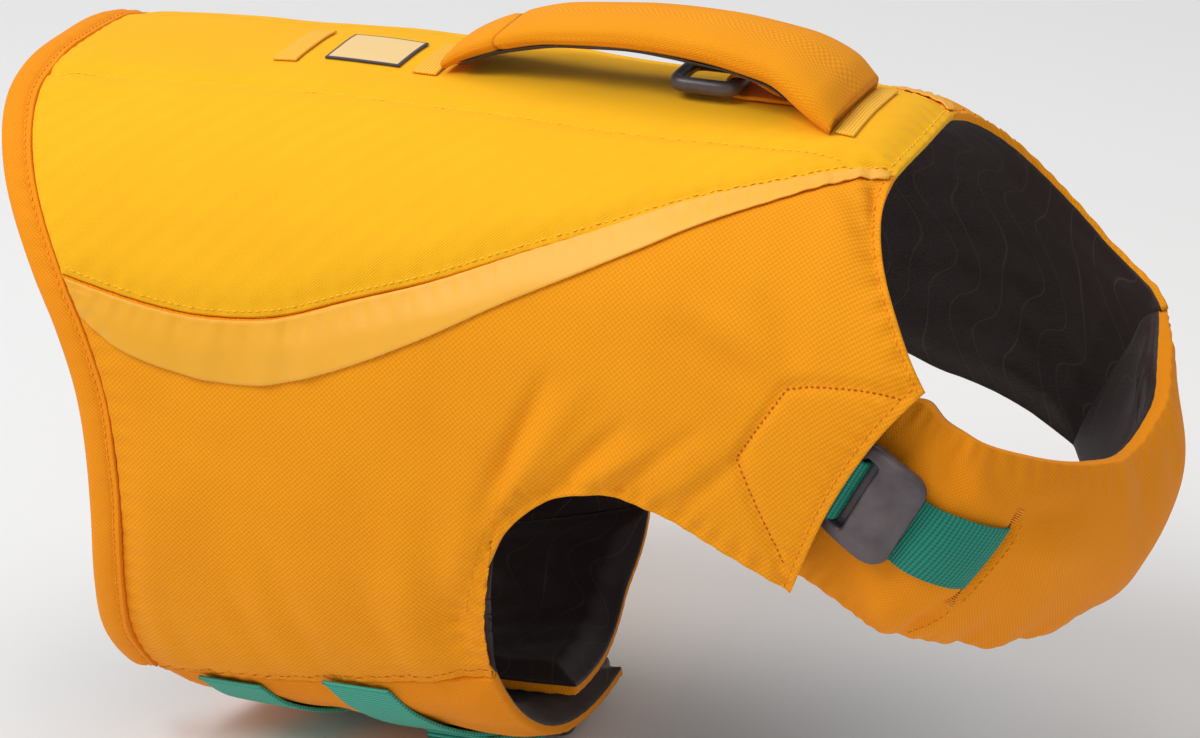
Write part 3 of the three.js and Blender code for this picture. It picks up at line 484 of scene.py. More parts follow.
def shell(name, outer, inner, uv, materials, rim_steps=6, roundness=0.3, cloth_share=0.7, **made):
    """A closed cloth form between an outer and an inner grid of points, with a rounded rim.
    materials are the outer cloth and the lining, which starts at cloth_share of the way round."""
    rows, columns = outer.shape[:2]
    i, j = rim_ring(rows, columns)
    inner_i, inner_j = np.clip(i, 1, rows - 2), np.clip(j, 1, columns - 2)
    out = unit(outer[i, j] - outer[inner_i, inner_j])
    spacing = np.linalg.norm(outer[i, j] - outer[inner_i, inner_j], axis=1)
    across = np.linalg.norm(outer[i, j] - inner[i, j], axis=1)
    corner = ((i == 0) | (i == rows - 1)) & ((j == 0) | (j == columns - 1))
    round_off = (np.minimum(roundness * across, 0.6 * spacing) * np.where(corner, 0.3, 1))[:, None]
    outer, inner = outer.copy(), inner.copy()
    outer[i, j] -= out * round_off
    inner[i, j] -= out * round_off
    rim_points, rim_uv = [], []
    for w in np.arange(1, rim_steps) / rim_steps:
        bend = (1 - math.cos(math.pi * w)) / 2
        rim_points.append(
            outer[i, j] * (1 - bend) + inner[i, j] * bend + out * round_off * math.sin(math.pi * w))
        rim_uv.append(uv[i, j] + unit(uv[i, j] - uv[inner_i, inner_j]) * across[:, None] * w)
    points = np.vstack([outer.reshape(-1, 3), inner.reshape(-1, 3), *rim_points])
    layer = rows * columns
    ids = [i * columns + j]
    ids += [2 * layer + k * len(i) + np.arange(len(i)) for k in range(rim_steps - 1)]
    ids += [layer + i * columns + j]
    walls = [
        np.stack([a, b, np.roll(b, -1), np.roll(a, -1)], axis=1) for a, b in zip(ids, ids[1:])
    ]
    faces = np.vstack([grid_faces(rows, columns), grid_faces(rows, columns, layer)[:, ::-1], *walls])
    cells = (rows - 1) * (columns - 1)
    parts = np.concatenate([
        np.zeros(cells, int), np.ones(cells, int),
        *[np.full(len(i), int((k + 0.5) / rim_steps > cloth_share)) for k in range(rim_steps)],
    ])
    parts = np.minimum(parts, len(materials) - 1)
    pattern = np.vstack([uv.reshape(-1, 2), uv.reshape(-1, 2), *rim_uv])
    return add_mesh(name, points, turned_out(points, faces), materials, pattern, parts, **made)


def tube(name, path, radius, material, sides=12, closed=False, tall=1.0, **made):
    """A cord along a row of points, tall times as high as it is wide."""
    path = np.asarray(path, float)
    ahead = np.roll(path, -1, axis=0) - np.roll(path, 1, axis=0)
    if not closed:
        ahead[0], ahead[-1] = path[1] - path[0], path[-1] - path[-2]
    along = unit(ahead)
    reference = np.array([0.0, 0.0, 1.0]) if abs(along[0, 2]) < 0.9 else np.array([0.0, 1.0, 0.0])
    side = unit(np.cross(along, reference))
    up = np.cross(side, along)
    angle = 2 * np.pi * np.arange(sides) / sides
    radius = np.broadcast_to(radius, len(path))[:, None, None]
    rings = path[:, None] + radius * turned_rings(angle, side, up, height=tall)
    points = rings.reshape(-1, 3)
    rows = len(path) if closed else len(path) - 1
    faces = turned_out(points, round_faces(rows, sides, len(path))).tolist()
    if not closed:
        faces.append(list(range(sides)))
        faces.append(list(range(len(points) - 1, len(points) - sides - 1, -1)))
    turn = np.arange(sides) * 2 * np.pi / sides * float(np.mean(radius))
    uv = np.stack(np.meshgrid(run_lengths(path), turn, indexing="ij"), -1).reshape(-1, 2)
    return add_mesh(name, points, faces, [material], uv, **made)


# One stitch: rings along it, as shares of its length and thickness, and its height over the cloth
STITCH_RINGS = (
    (-0.5, 0.4, -0.4), (-0.3, 0.9, 0.7), (0.0, 1.0, 1.0), (0.3, 0.9, 0.7), (0.5, 0.4, -0.4))
STITCH_SIDES = 6


def stitches(name, seams, material, pitch=2.8, length=2.1, thick=0.3, **made):
    """Rows of stitches. seams are lists of points on the cloth with its normals there."""
    angle = 2 * np.pi * np.arange(STITCH_SIDES) / STITCH_SIDES
    rings = np.array(STITCH_RINGS)
    points = []
    for path, normals in seams:
        lengths = run_lengths(path)
        count = max(int(lengths[-1] / pitch), 1)
        middles = (np.arange(count) + 0.5) * lengths[-1] / count

        def at(values, where):
            return np.stack([np.interp(where, lengths, values[:, k]) for k in range(3)], -1)

        centre, up = at(path, middles), unit(at(normals, middles))
        along = unit(at(path, middles + length / 2) - at(path, middles - length / 2))
        side = np.cross(up, along)
        for share, round_, lift in rings:
            spot = centre + share * length * along + lift * thick * up
            points.append(spot[:, None] + thick * round_ * turned_rings(angle, side, up, height=0.8))
    blocks = []
    step = len(rings)
    for k in range(0, len(points), step):
        blocks.append(np.stack(points[k:k + step], axis=1).reshape(-1, 3))
    points = np.vstack(blocks)
    each = step * STITCH_SIDES
    one = round_faces(step - 1, STITCH_SIDES, step)
    starts = np.arange(0, len(points), each)
    sides = (one[None] + starts[:, None, None]).reshape(-1, 4)
    caps = [list(range(s, s + STITCH_SIDES))[::-1] for s in starts]
    caps += [list(range(s + each - STITCH_SIDES, s + each)) for s in starts]
    return add_mesh(name, points, [*turned_out(points, sides).tolist(), *caps], [material], **made)


# Materials
def rgb(red, green, blue):
    """A linear colour from the 0 to 255 values that a screen shows."""
    return (*[((c / 255 + 0.055) / 1.055) ** 2.4 for c in (red, green, blue)], 1.0)


class Material:
    """A material whose colour, roughness and bump come from nodes."""

    def __init__(self, name, roughness, **sockets):
        self.made = bpy.data.materials.new(f"{name}_look")
        self.made.use_nodes = True
        self.tree = self.made.node_tree
        self.shader = self.tree.nodes["Principled BSDF"]
        self.shader.inputs["Roughness"].default_value = roughness
        for key, value in sockets.items():
            self.shader.inputs[key.replace("_", " ")].default_value = value

    def node(self, kind, inputs=(), **settings):
        node = self.tree.nodes.new(kind)
        for key, value in settings.items():
            setattr(node, key, value)
        self.give(node, dict(inputs))
        return node

    def give(self, node, inputs):
        """Sets each input of a node, or links it where the value is another node's output."""
        for key, value in inputs.items():
            if isinstance(value, bpy.types.NodeSocket):
                self.tree.links.new(value, node.inputs[key])
            else:
                node.inputs[key].default_value = value

    def math(self, operation, a, b=0.0):
        return self.node("ShaderNodeMath", {0: a, 1: b}, operation=operation).outputs[0]

    def wave(self, coordinate, length, offset=0.0):
        """A wave between -1 and 1 along a coordinate in millimetres."""
        turned = self.math("MULTIPLY", coordinate, 2 * math.pi / length)
        return self.math("SINE", self.math("ADD", turned, offset))

    def pattern(self):
        """The two coordinates on the cut pattern, in millimetres."""
        spot = self.node("ShaderNodeUVMap", uv_map="pattern").outputs[0]
        split = self.node("ShaderNodeSeparateXYZ", {0: spot})
        return split.outputs[0], split.outputs[1]

    def noise(self, scale, detail=2.0):
        """Noise between 0 and 1 that is fixed to the piece, with scale features a metre."""
        spot = self.node("ShaderNodeTexCoord").outputs["Object"]
        noise = self.node("ShaderNodeTexNoise", {"Vector": spot, "Scale": scale, "Detail": detail})
        return noise.outputs["Fac"]

    def ramp(self, value, low, high):
        """Goes from 0 to 1 as value goes from low to high."""
        inputs = {"Value": value, "From Min": low, "From Max": high}
        return self.node("ShaderNodeMapRange", inputs).outputs[0]

    def mix(self, share, a, b):
        node = self.node("ShaderNodeMix", data_type="RGBA")
        self.give(node, {0: share, 6: a, 7: b})
        return node.outputs[2]

    def bump(self, height, depth, strength=1.0, below=None):
        """Relief of depth millimetres. below is the relief that it lies on."""
        inputs = {"Height": height, "Distance": depth * MM, "Strength": strength}
        if below is not None:
            inputs["Normal"] = below
        return self.node("ShaderNodeBump", inputs).outputs[0]

    def finish(self, color, normal=None):
        self.tree.links.new(color, self.shader.inputs["Base Color"])
        if normal is not None:
            self.tree.links.new(normal, self.shader.inputs["Normal"])
        return self.made


def woven(name, light, dark, pitch, relief=0.12, roughness=0.78, sheen=0.04, twill=0.0, shade=0.6):
    """Woven cloth. Its threads are pitch apart, and dark shows in the hollows between them."""
    m = Material(name, roughness, Sheen_Weight=sheen, Sheen_Roughness=0.4, Specular_IOR_Level=0.16)
    x, g = m.pattern()
    height = m.math("MULTIPLY", m.wave(x, 2 * pitch), m.wave(g, 2 * pitch))
    if twill:
        ribs = m.math("MULTIPLY", m.wave(m.math("ADD", x, g), 2.2 * pitch), twill)
        height = m.math("ADD", height, ribs)
    height = m.math("MULTIPLY_ADD", height, 0.5)
    height.node.inputs[2].default_value = 0.5
    uneven = m.noise(28, 3)
    share = m.math("MULTIPLY", m.math("SUBTRACT", 1.0, height), shade)
    share = m.math("ADD", share, m.math("MULTIPLY", m.math("SUBTRACT", uneven, 0.5), 0.35))
    color = m.mix(m.ramp(share, 0, 1), light, dark)
    soft = m.bump(uneven, 0.5, 0.35)
    return m.finish(color, m.bump(height, relief, 1.0, soft))


def lining_cloth(name):
    """Smooth dark lining with faint wavy lines printed along it."""
    m = Material(name, 0.5, Sheen_Weight=0.1, Specular_IOR_Level=0.35)
    x, g = m.pattern()
    sway = m.math("MULTIPLY", m.wave(g, 61), 5.0)
    drift = m.math("MULTIPLY", m.wave(m.math("ADD", x, g), 37, 1.0), 2.5)
    ripple = m.math("ABSOLUTE", m.wave(m.math("ADD", m.math("ADD", x, sway), drift), 22))
    printed = m.ramp(ripple, 0.1, 0.03)
    printed = m.math("MULTIPLY", printed, 0.35)
    color = m.mix(printed, rgb(44, 28, 25), rgb(96, 82, 76))
    crumple = m.noise(45, 4)
    weave = m.math("MULTIPLY", m.wave(x, 0.9), m.wave(g, 0.9))
    return m.finish(color, m.bump(weave, 0.03, 1.0, m.bump(crumple, 1.2, 0.5)))


def webbing_cloth(name, light, dark):
    """Webbing with ribs across its width. Its pattern runs along it and then across."""
    m = Material(name, 0.6, Sheen_Weight=0.05, Specular_IOR_Level=0.3)
    along, across = m.pattern()
    ribs = m.math("ABSOLUTE", m.wave(along, 2.7))
    cells = m.math("ABSOLUTE", m.wave(across, 2.4))
    height = m.math("ADD", m.math("MULTIPLY", ribs, 0.7), m.math("MULTIPLY", cells, 0.3))
    color = m.mix(m.ramp(height, 0.1, 0.85), dark, light)
    return m.finish(color, m.bump(height, 0.3))


def plastic(name, color, edge):
    """Satin moulded plastic, a little paler where it is rubbed."""
    m = Material(name, 0.38, Specular_IOR_Level=0.5)
    rubbed = m.ramp(m.noise(90, 4), 0.4, 0.75)
    return m.finish(m.mix(rubbed, color, edge), m.bump(m.noise(1500, 1), 0.02, 0.5))


def thread(name, light, dark):
    """Twisted sewing thread."""
    m = Material(name, 0.6, Sheen_Weight=0.05, Specular_IOR_Level=0.2)
    return m.finish(m.mix(m.ramp(m.noise(900, 2), 0.3, 0.7), dark, light))


def satin_cloth(name):
    """Smooth satin-faced cloth with fine threads, deep yellow at the rear and paler forward, where its
    sheen is painted into the colour.
    """
    m = Material(name, 0.36, Sheen_Weight=0.04, Specular_IOR_Level=0.5)
    x, g = m.pattern()
    fine = m.math("MULTIPLY", m.wave(x, 0.7), m.wave(g, 0.7))
    uneven = m.noise(35, 3)
    patches = m.math("MULTIPLY", m.math("SUBTRACT", uneven, 0.5), 60.0)
    # Paler forward: a painted sheen, with its edge made uneven by noise.
    forward = m.ramp(m.math("ADD", x, patches), -60.0, 30.0)
    color = m.mix(forward, rgb(238, 168, 16), rgb(248, 178, 46))
    return m.finish(color, m.bump(fine, 0.03, 1.0, m.bump(uneven, 0.6, 0.5)))


def tape_cloth(name, light, dark):
    """Ribbed tape. Its pattern runs across it and then along it."""
    m = Material(name, 0.6, Sheen_Weight=0.04, Specular_IOR_Level=0.25)
    x, g = m.pattern()
    ribs = m.wave(x, 1.1)
    color = m.mix(m.ramp(ribs, -0.8, 0.4), dark, light)
    cross = m.wave(g, 0.8)
    return m.finish(color, m.bump(m.math("ADD", ribs, m.math("MULTIPLY", cross, 0.3)), 0.07))


def label_cloth(name):
    """A plain woven label with a thin dark border. Its pattern is measured from the back's."""
    m = Material(name, 0.6, Sheen_Weight=0.05)
    x, g = m.pattern()
    rear, front, half = LABEL_PLACE
    along = m.math("SUBTRACT", m.math("ABSOLUTE", m.math("SUBTRACT", x, (rear + front) / 2)),
                   (front - rear) / 2 - 0.9)
    across = m.math("SUBTRACT", m.math("ABSOLUTE", g), half - 0.9)
    border = m.ramp(m.math("MAXIMUM", along, across), -0.1, 0.1)
    weave = m.math("MULTIPLY", m.wave(x, 0.9), m.wave(g, 0.9))
    color = m.mix(m.ramp(weave, -1.0, 1.0), rgb(240, 196, 120), rgb(252, 222, 164))
    return m.finish(m.mix(border, color, rgb(70, 66, 84)), m.bump(weave, 0.08))


YELLOW = woven("yellow_cloth", rgb(253, 190, 28), rgb(240, 164, 14), 0.55, 0.08, twill=0.5, shade=0.6)
ORANGE = woven("orange_cloth", rgb(250, 164, 20), rgb(220, 124, 6), 0.95, 0.16, shade=0.6)
SMOOTH_ORANGE = woven("smooth_orange_cloth", rgb(246, 154, 16), rgb(216, 112, 6), 0.75, 0.1)
BINDING = woven("binding_cloth", rgb(248, 156, 20), rgb(218, 114, 8), 0.7, 0.09)
SATIN = satin_cloth("satin_trim")
LINING = lining_cloth("dark_lining")
TEAL = webbing_cloth("teal_webbing", rgb(22, 142, 120), rgb(6, 84, 70))
PALE_TEAL = webbing_cloth("pale_teal_webbing", rgb(70, 186, 164), rgb(24, 116, 98))
TAPE = tape_cloth("pale_tape", rgb(254, 198, 66), rgb(242, 170, 34))
LABEL = label_cloth("label_cloth")
PLASTIC = plastic("dark_plastic", rgb(72, 62, 66), rgb(96, 86, 88))
ORANGE_THREAD = thread("orange_thread", rgb(254, 168, 34), rgb(238, 144, 18))
BRIGHT_THREAD = thread("bright_orange_thread", rgb(255, 172, 50), rgb(240, 146, 24))
RED_THREAD = thread("red_orange_thread", rgb(206, 104, 22), rgb(166, 72, 12))
YELLOW_THREAD = thread("yellow_thread", rgb(255, 208, 64), rgb(250, 186, 34))
# Painted shadow for the band's slit: a dark material for the shade seen in the opening, whose cloth is
# really orange.
SLIT_SHADOW = thread("painted_slit_shadow", rgb(168, 74, 12), rgb(104, 38, 4))
SLOTS = {name: name for name in (
    "yellow_cloth", "orange_cloth", "satin_trim", "dark_lining", "teal_webbing", "pale_tape",
    "label_cloth", "dark_plastic")}
SLOTS.update({name: "orange_cloth" for name in (
    "smooth_orange_cloth", "binding_cloth", "orange_thread", "bright_orange_thread",
    "red_orange_thread", "painted_slit_shadow")})
SLOTS.update({"pale_teal_webbing": "teal_webbing", "yellow_thread": "yellow_cloth"})


# Padded panels
# Lines that two pieces share run through the same number of steps, so that their edges meet.
SEAM_STEPS, STITCHED_STEPS, ARMHOLE_STEPS, ARMHOLE_LEFT_STEPS = 22, 12, 22, 26

hem = line(mirrored_rows(HEM))
hem_inner = shifted(hem, BINDING_WIDTH)
seam = line(SEAM)
seam_girth = SEAM[0][1]
corner_girth = STITCHED_HEM[0][1]


def straight(rows):
    return lambda t: run_along(np.array(rows, float))(t)


def creases(rows, x, g):
    """Relief from rows of creases: start x and g, end x and g, width and height."""
    relief = np.zeros(np.broadcast(x, g).shape)
    for x0, g0, x1, g1, width, height in rows:
        length = math.hypot(x1 - x0, g1 - g0)
        along = ((x - x0) * (x1 - x0) + (g - g0) * (g1 - g0)) / length**2
        off = ((x - x0) * (g1 - g0) - (g - g0) * (x1 - x0)) / length
        beyond = np.maximum(np.abs(along - 0.5) - 0.5, 0) * length
        middle = 0.55 + 0.45 * np.sin(np.pi * np.clip(along, 0, 1))
        relief += height * middle * bell(off, width) * bell(beyond, 1.6 * width)
    return relief


def beside(rows, distance):
    """The points of a pattern line at a distance to the side of growing g where x grows."""
    points = spline(rows)
    ahead = unit(np.gradient(points, axis=0))
    return points + distance * np.stack([-ahead[:, 1], ahead[:, 0]], -1)


def even_foam(thick):
    return lambda x, g: np.full(np.broadcast(x, g).shape, thick)


class Panel:
    """A padded piece that keeps to the body, drawn in and puckered along its sewn edges."""

    def __init__(self, patch, foam=None, sink=None, folds=(), relief=None, seed=1, unevenness=0.5,
                 pucker=0.3, seams=()):
        self.patch = patch
        self.foam = foam or even_foam(FOAM)
        self.sink = sink or (lambda x, g: 0.0)
        self.folds = folds
        self.relief = relief or (lambda x, g: 0.0)
        self.seed = seed
        self.unevenness = unevenness
        self.pucker = pucker
        self.seams = seams

    def surface(self, x, g):
        distance, along = from_line(self.patch.outline, x, g)
        edge = 1 - smooth(distance / PULL_REACH)
        foam = self.foam(x, g)
        phase = along * 2 * np.pi / 7.5 + 2.5 * wander(x, g, 45, self.seed + 50)
        puckers = self.pucker * np.sin(phase) * bell(distance - 4, 4.5)
        soft = self.unevenness * (1 - edge) * (
            wander(x, g, 70, self.seed) + 0.35 * wander(x, g, 24, self.seed + 9))
        top = (self.relief(x, g) + creases(self.folds, x, g) + puckers + soft
               - self.sink(x, g) - foam * PULL_OUTER * edge)
        for points, depth, width in self.seams:
            off, run = from_line(points, x, g, closed=False)
            gathered = 1 + 0.35 * np.sin(run * 2 * np.pi / 6.5 + wander(x, g, 40, self.seed + 4))
            top = top - depth * gathered * bell(off, width)
        under = -self.sink(x, g) - foam * (1 - PULL_INNER * edge) - LINING_DROP * (1 - 0.7 * edge)
        rumple = 0.45 * wander(x, g, 19, self.seed + 20) + 0.5 * wander(x, g, 48, self.seed + 21)
        return top, under + rumple * (1 - edge)

    def top(self, x, g):
        return self.surface(x, g)[0]

    def sewn(self, spots):
        """Points on the cloth and its normals along a row of x and g."""
        x, g = run_along(spots)(np.linspace(0, 1, 400)).T
        return body(x, g, self.top(x, g)), body_normal(x, g)

    def build(self, name, steps_u, steps_v, materials, **made):
        u, v = grid(steps_u + 1, steps_v + 1)
        spots = self.patch.at(u, v)
        x, g = spots[..., 0], spots[..., 1]
        top, under = self.surface(x, g)
        return shell(name, body(x, g, top), body(x, g, under), spots, materials, **made)


def channel(x, g):
    """The sewn channel beside the spine, its ridges of foam, and the sag under the handle."""
    off = np.abs(g) - CHANNEL_GIRTH
    sag = -2.3 * bell(x - 80, 48) * bell(np.abs(g) - 44, 32)
    return sag - 1.3 * bell(off, 2.2) + 0.5 * bell(off - 7, 6) + 0.4 * bell(off + 7, 6)


back_patch = Patch(
    top=flipped(seam), low=seam, rear=between(hem_inner, -seam_girth, seam_girth),
    front=line(NECK_BACK))
CHANNEL_GIRTH = 36
BACK_EDGE = beside(SEAM, -2.6)
BACK_CHANNEL = np.array([[-134, CHANNEL_GIRTH], [156, CHANNEL_GIRTH]], float)
BACK_NECK = beside(NECK_BACK, 3.0)
MIRROR = np.array([1, -1])
back = Panel(
    back_patch, relief=channel, seed=3, unevenness=0.4,
    seams=[(BACK_EDGE, 0.45, 1.3), (BACK_EDGE * MIRROR, 0.45, 1.3), (BACK_NECK, 0.5, 1.5)])
back_piece = back.build(
    "back_cloth", 150, 90, [YELLOW, LINING], stands_for=("back_panel", "lining_back"))


def flap_foam(x, g):
    """Foam as far as its sewn end, and cloth alone on the front flap."""
    distance, _ = from_line(np.array(FOAM_END, float), x, g)
    outside = np.where(inside(np.array(FOAM_END, float), x, g), -distance, distance)
    return FLAP_CLOTH + (FOAM - FLAP_CLOTH) * smooth(0.5 + outside / FOAM_END_REACH)


FOLDS_RIGHT = [
    (52, 182, 72, 136, 4.0, -2.6),
    (60, 178, 84, 138, 5.0, 1.6),
    (74, 174, 98, 148, 3.6, -2.2),
    (84, 173, 106, 154, 4.0, 1.4),
    (94, 172, 124, 146, 3.6, -1.8),
    (108, 172, 132, 154, 4.0, 1.0),
    (120, 172, 142, 150, 3.6, -1.4),
    (126, 112, 146, 126, 5.0, -2.0),
    (118, 104, 142, 112, 6.0, 1.3),
    (148, 100, 160, 118, 5.0, -1.6),
    (128, 150, 104, 160, 6.0, 1.2),
    (33, 196, 36, 268, 8.0, -2.6),
    (20, 205, 22, 262, 8.0, 1.2),
    (-39, 268, -46, 232, 5.0, -1.4),
    (-17, 268, -30, 214, 6.0, -1.6),
    (14, 262, 4, 224, 5.0, -1.3),
    (-68, 280, -74, 246, 5.0, -1.0),
    (-92, 282, -88, 190, 8.0, -1.6),
    (168, 40, 174, 56, 2.6, -1.6),
    (172, 38, 180, 58, 2.2, 1.2),
    (160, 46, 170, 66, 4.0, -1.2),
    (171, 62, 180, 78, 3.0, -0.9),
    (-60, 176, 40, 168, 26.0, 0.9),
    (46, 236, 30, 222, 5.0, -1.2),
]
right_patch = Patch(
    top=chain([seam, SEAM_STEPS],
              [line(NECK_RIGHT), STITCHED_STEPS + ARMHOLE_STEPS - SEAM_STEPS]),
    low=chain([line(STITCHED_HEM), STITCHED_STEPS], [paced(line(ARMHOLE), 0.22, 0.42), ARMHOLE_STEPS]),
    rear=between(hem_inner, seam_girth, corner_girth),
    front=line(FLAP_EDGE))


def foam_end_groove(x, g):
    """The stitched line where the foam of the right side ends."""
    distance, _ = from_line(np.array(FOAM_END[1:6], float), x, g, closed=False)
    return -0.9 * bell(distance, 2.0)


HEM_STITCHES = beside(STITCHED_HEM, -3.5)
ARMHOLE_STITCHES = beside(ARMHOLE, -3.4)
NECK_STITCHES = beside(NECK_RIGHT, 3.0)
FLAP_STITCHES = beside(FLAP_EDGE, 3.0)
PENTAGON = np.array([[195, 111], [156, 124], [140, 151], [156.5, 186]], float)
right = Panel(
    right_patch, foam=flap_foam, folds=FOLDS_RIGHT, relief=foam_end_groove, seed=11,
    unevenness=0.75, pucker=0.42,
    seams=[(HEM_STITCHES, 0.6, 1.6), (ARMHOLE_STITCHES, 0.5, 1.6), (NECK_STITCHES, 0.5, 1.6),
           (FLAP_STITCHES, 0.4, 1.3), (PENTAGON, 0.5, 1.6)])
right_piece = right.build(
    "side_right_cloth", 190, 84, [ORANGE, LINING], stands_for=("side_right", "lining_right"))

FOLDS_LEFT = [
    (54, -176, 78, -140, 5.0, -1.4),
    (76, -172, 104, -150, 4.5, -1.1),
    (100, -170, 132, -150, 4.5, -0.9),
    (35, -200, 38, -266, 8.0, -1.6),
    (-30, -266, -44, -220, 6.0, -1.0),
    (150, -110, 178, -150, 8.0, -1.2),
    (176, -90, 206, -130, 7.0, 0.9),
    (198, -104, 214, -150, 6.0, -1.0),
    (-70, -180, 30, -170, 26.0, 0.9),
]
left_patch = Patch(
    top=flipped(chain([seam, SEAM_STEPS],
                      [line(NECK_LEFT), STITCHED_STEPS + ARMHOLE_LEFT_STEPS - SEAM_STEPS])),
    low=flipped(chain([line(STITCHED_HEM), STITCHED_STEPS],
                      [paced(line(ARMHOLE_LEFT), 0.2, 0.36), ARMHOLE_LEFT_STEPS])),
    rear=flipped(between(hem_inner, seam_girth, corner_girth)),
    front=flipped(straight(LEFT_EDGE)))
NECK_STITCHES_LEFT = beside(NECK_LEFT, 3.0) * MIRROR
ARMHOLE_STITCHES_LEFT = beside(ARMHOLE_LEFT, -3.4) * MIRROR
left = Panel(
    left_patch, folds=FOLDS_LEFT, seed=23, unevenness=0.75, pucker=0.42,
    seams=[(HEM_STITCHES * MIRROR, 0.6, 1.6), (ARMHOLE_STITCHES_LEFT, 0.5, 1.6),
           (NECK_STITCHES_LEFT, 0.5, 1.6)])
left_piece = left.build(
    "side_left_cloth", 190, 84, [ORANGE, LINING], stands_for=("side_left", "lining_left"))

# Belly flaps, the left one under the right one
FOLDS_BELLY = [
    (52, 300, 20, 296, 6.0, -1.0),
    (50, 330, 24, 326, 6.0, 0.8),
    (-20, 290, -30, 340, 7.0, -0.9),
    (20, 290, 16, 340, 7.0, -0.8),
]
belly_lines = {
    "top": line(STITCHED_HEM), "low": line(BELLY_END), "rear": line(BELLY_REAR),
    "front": line(BELLY_FRONT),
}


def tuck(x, g):
    return BELLY_TUCK * smooth((-g - BELLY_TUCK_START) / (BELLY_TUCK_END - BELLY_TUCK_START))


belly_right = Panel(Patch(**belly_lines), foam=even_foam(BELLY_FOAM), folds=FOLDS_BELLY, seed=31)
belly_right_piece = belly_right.build(
    "belly_right_cloth", 80, 70, [SMOOTH_ORANGE, LINING],
    stands_for=("belly_right", "lining_belly_right"))
belly_left = Panel(
    Patch(**{key: flipped(f) for key, f in belly_lines.items()}), foam=even_foam(BELLY_FOAM), sink=tuck,
    seed=37)
belly_left_piece = belly_left.build(
    "belly_left_cloth", 80, 70, [SMOOTH_ORANGE, LINING],
    stands_for=("belly_left", "lining_belly_left"))

# Tape bound round the rear edge
def whole_hem(edge):
    return chain(
        [between(edge, -corner_girth, -seam_girth), 12], [between(edge, -seam_girth, seam_girth), 20],
        [between(edge, seam_girth, corner_girth), 12])


binding_patch = Patch(
    top=whole_hem(hem), low=whole_hem(hem_inner),
    rear=straight([[HEM[-1][0], -corner_girth], [STITCHED_HEM[0][0], -corner_girth]]),
    front=straight([HEM[-1], STITCHED_HEM[0]]))
BINDING_ROW = 19                # the row of its points that carries the stitches
BINDING_HALF = 3.4              # how far each face of it stands off the foam's middle
u, v = grid(241, 25)
spots = binding_patch.at(u, v)
x, g = spots[..., 0], spots[..., 1]
crown = np.sqrt(1 - 0.8 * np.clip(1 - v / 0.5, 0, 1) ** 2.4) - 0.28 * smooth((v - 0.45) / 0.5)
ripple = 0.3 * np.sin(g * 2 * np.pi / 7.5 + 2 * wander(x, g, 30, 5)) * bell(v - 0.6, 0.3)
slack = 0.45 * wander(x, g, 34, 6)
sewn_in = -0.5 * bell(v - v[0, BINDING_ROW], 0.07)
binding_outer = body(x, g, -FOAM / 2 + BINDING_HALF * crown + ripple + slack * v + sewn_in)
x_binding, g_binding = x[:, BINDING_ROW], g[:, BINDING_ROW]
binding_piece = shell(
    "hem_binding_tape", binding_outer, body(x, g, -FOAM / 2 - BINDING_HALF * crown), spots,
    [BINDING, BINDING], roundness=0.35, stands_for=("hem_binding",))

# Chest band
band_end_low, band_end_high = body(*np.array(BAND_END, float).T, 0.0)
band_rows = np.array([
    *BAND, [*band_end_low, *band_end_high, BAND[-1][-1]],
])
band_rows = np.column_stack([np.linspace(0, 1, len(band_rows)), band_rows])


def band_flat(s, t):
    """Points of the band before it is crowned, and how far they then stand out."""
    values = [column(band_rows, i + 1, s) for i in range(len(BAND_COLUMNS))]
    upper, lower = np.stack(values[:3], -1), np.stack(values[3:6], -1)
    return upper + (lower - upper) * t[..., None], values[6] * 4 * t * (1 - t)


def band_point(s, t):
    s, t = np.broadcast_arrays(np.asarray(s, float), np.asarray(t, float))
    flat, bulge = band_flat(s, t)
    ahead = band_flat(np.minimum(s + 0.01, 1), t)[0] - band_flat(np.maximum(s - 0.01, 0), t)[0]
    down = band_flat(s, np.ones_like(t))[0] - band_flat(s, np.zeros_like(t))[0]
    free = flat - bulge[..., None] * unit(np.cross(ahead, down))
    edge = np.array(BAND_END, float)
    on_edge = edge[0] + (edge[1] - edge[0]) * t[..., None]
    sewn = body(on_edge[..., 0], on_edge[..., 1], 0.0) + flat - band_flat(np.ones_like(s), t)[0]
    share = smooth((s - BAND_JOIN) / (1 - BAND_JOIN))[..., None]
    return free * (1 - share) + sewn * share


def band_normal(s, t, step=0.02):
    s, t = np.broadcast_arrays(np.asarray(s, float), np.asarray(t, float))
    along_s = band_point(np.minimum(s + step, 1), t) - band_point(np.maximum(s - step, 0), t)
    along_t = band_point(s, np.minimum(t + step, 1)) - band_point(s, np.maximum(t - step, 0))
    edge = np.array(BAND_END, float)
    on_edge = edge[0] + (edge[1] - edge[0]) * t[..., None]
    share = smooth((s - BAND_JOIN) / (1 - BAND_JOIN))[..., None]
    free = -unit(np.cross(along_s, along_t))
    return unit(free * (1 - share) + body_normal(on_edge[..., 0], on_edge[..., 1]) * share)


def band_thick(s, t):
    crown = np.sqrt(1 - 0.86 * (2 * t - 1) ** 4)
    ends = 0.55 + 0.45 * smooth(s / 0.22) * smooth((1 - s) / 0.1)
    return BAND_FOAM * crown * ends


def band_sink(s, t):
    """How far the band's face lies below its middle line, where the band is thin."""
    return -0.22 * (BAND_FOAM - band_thick(s, t))


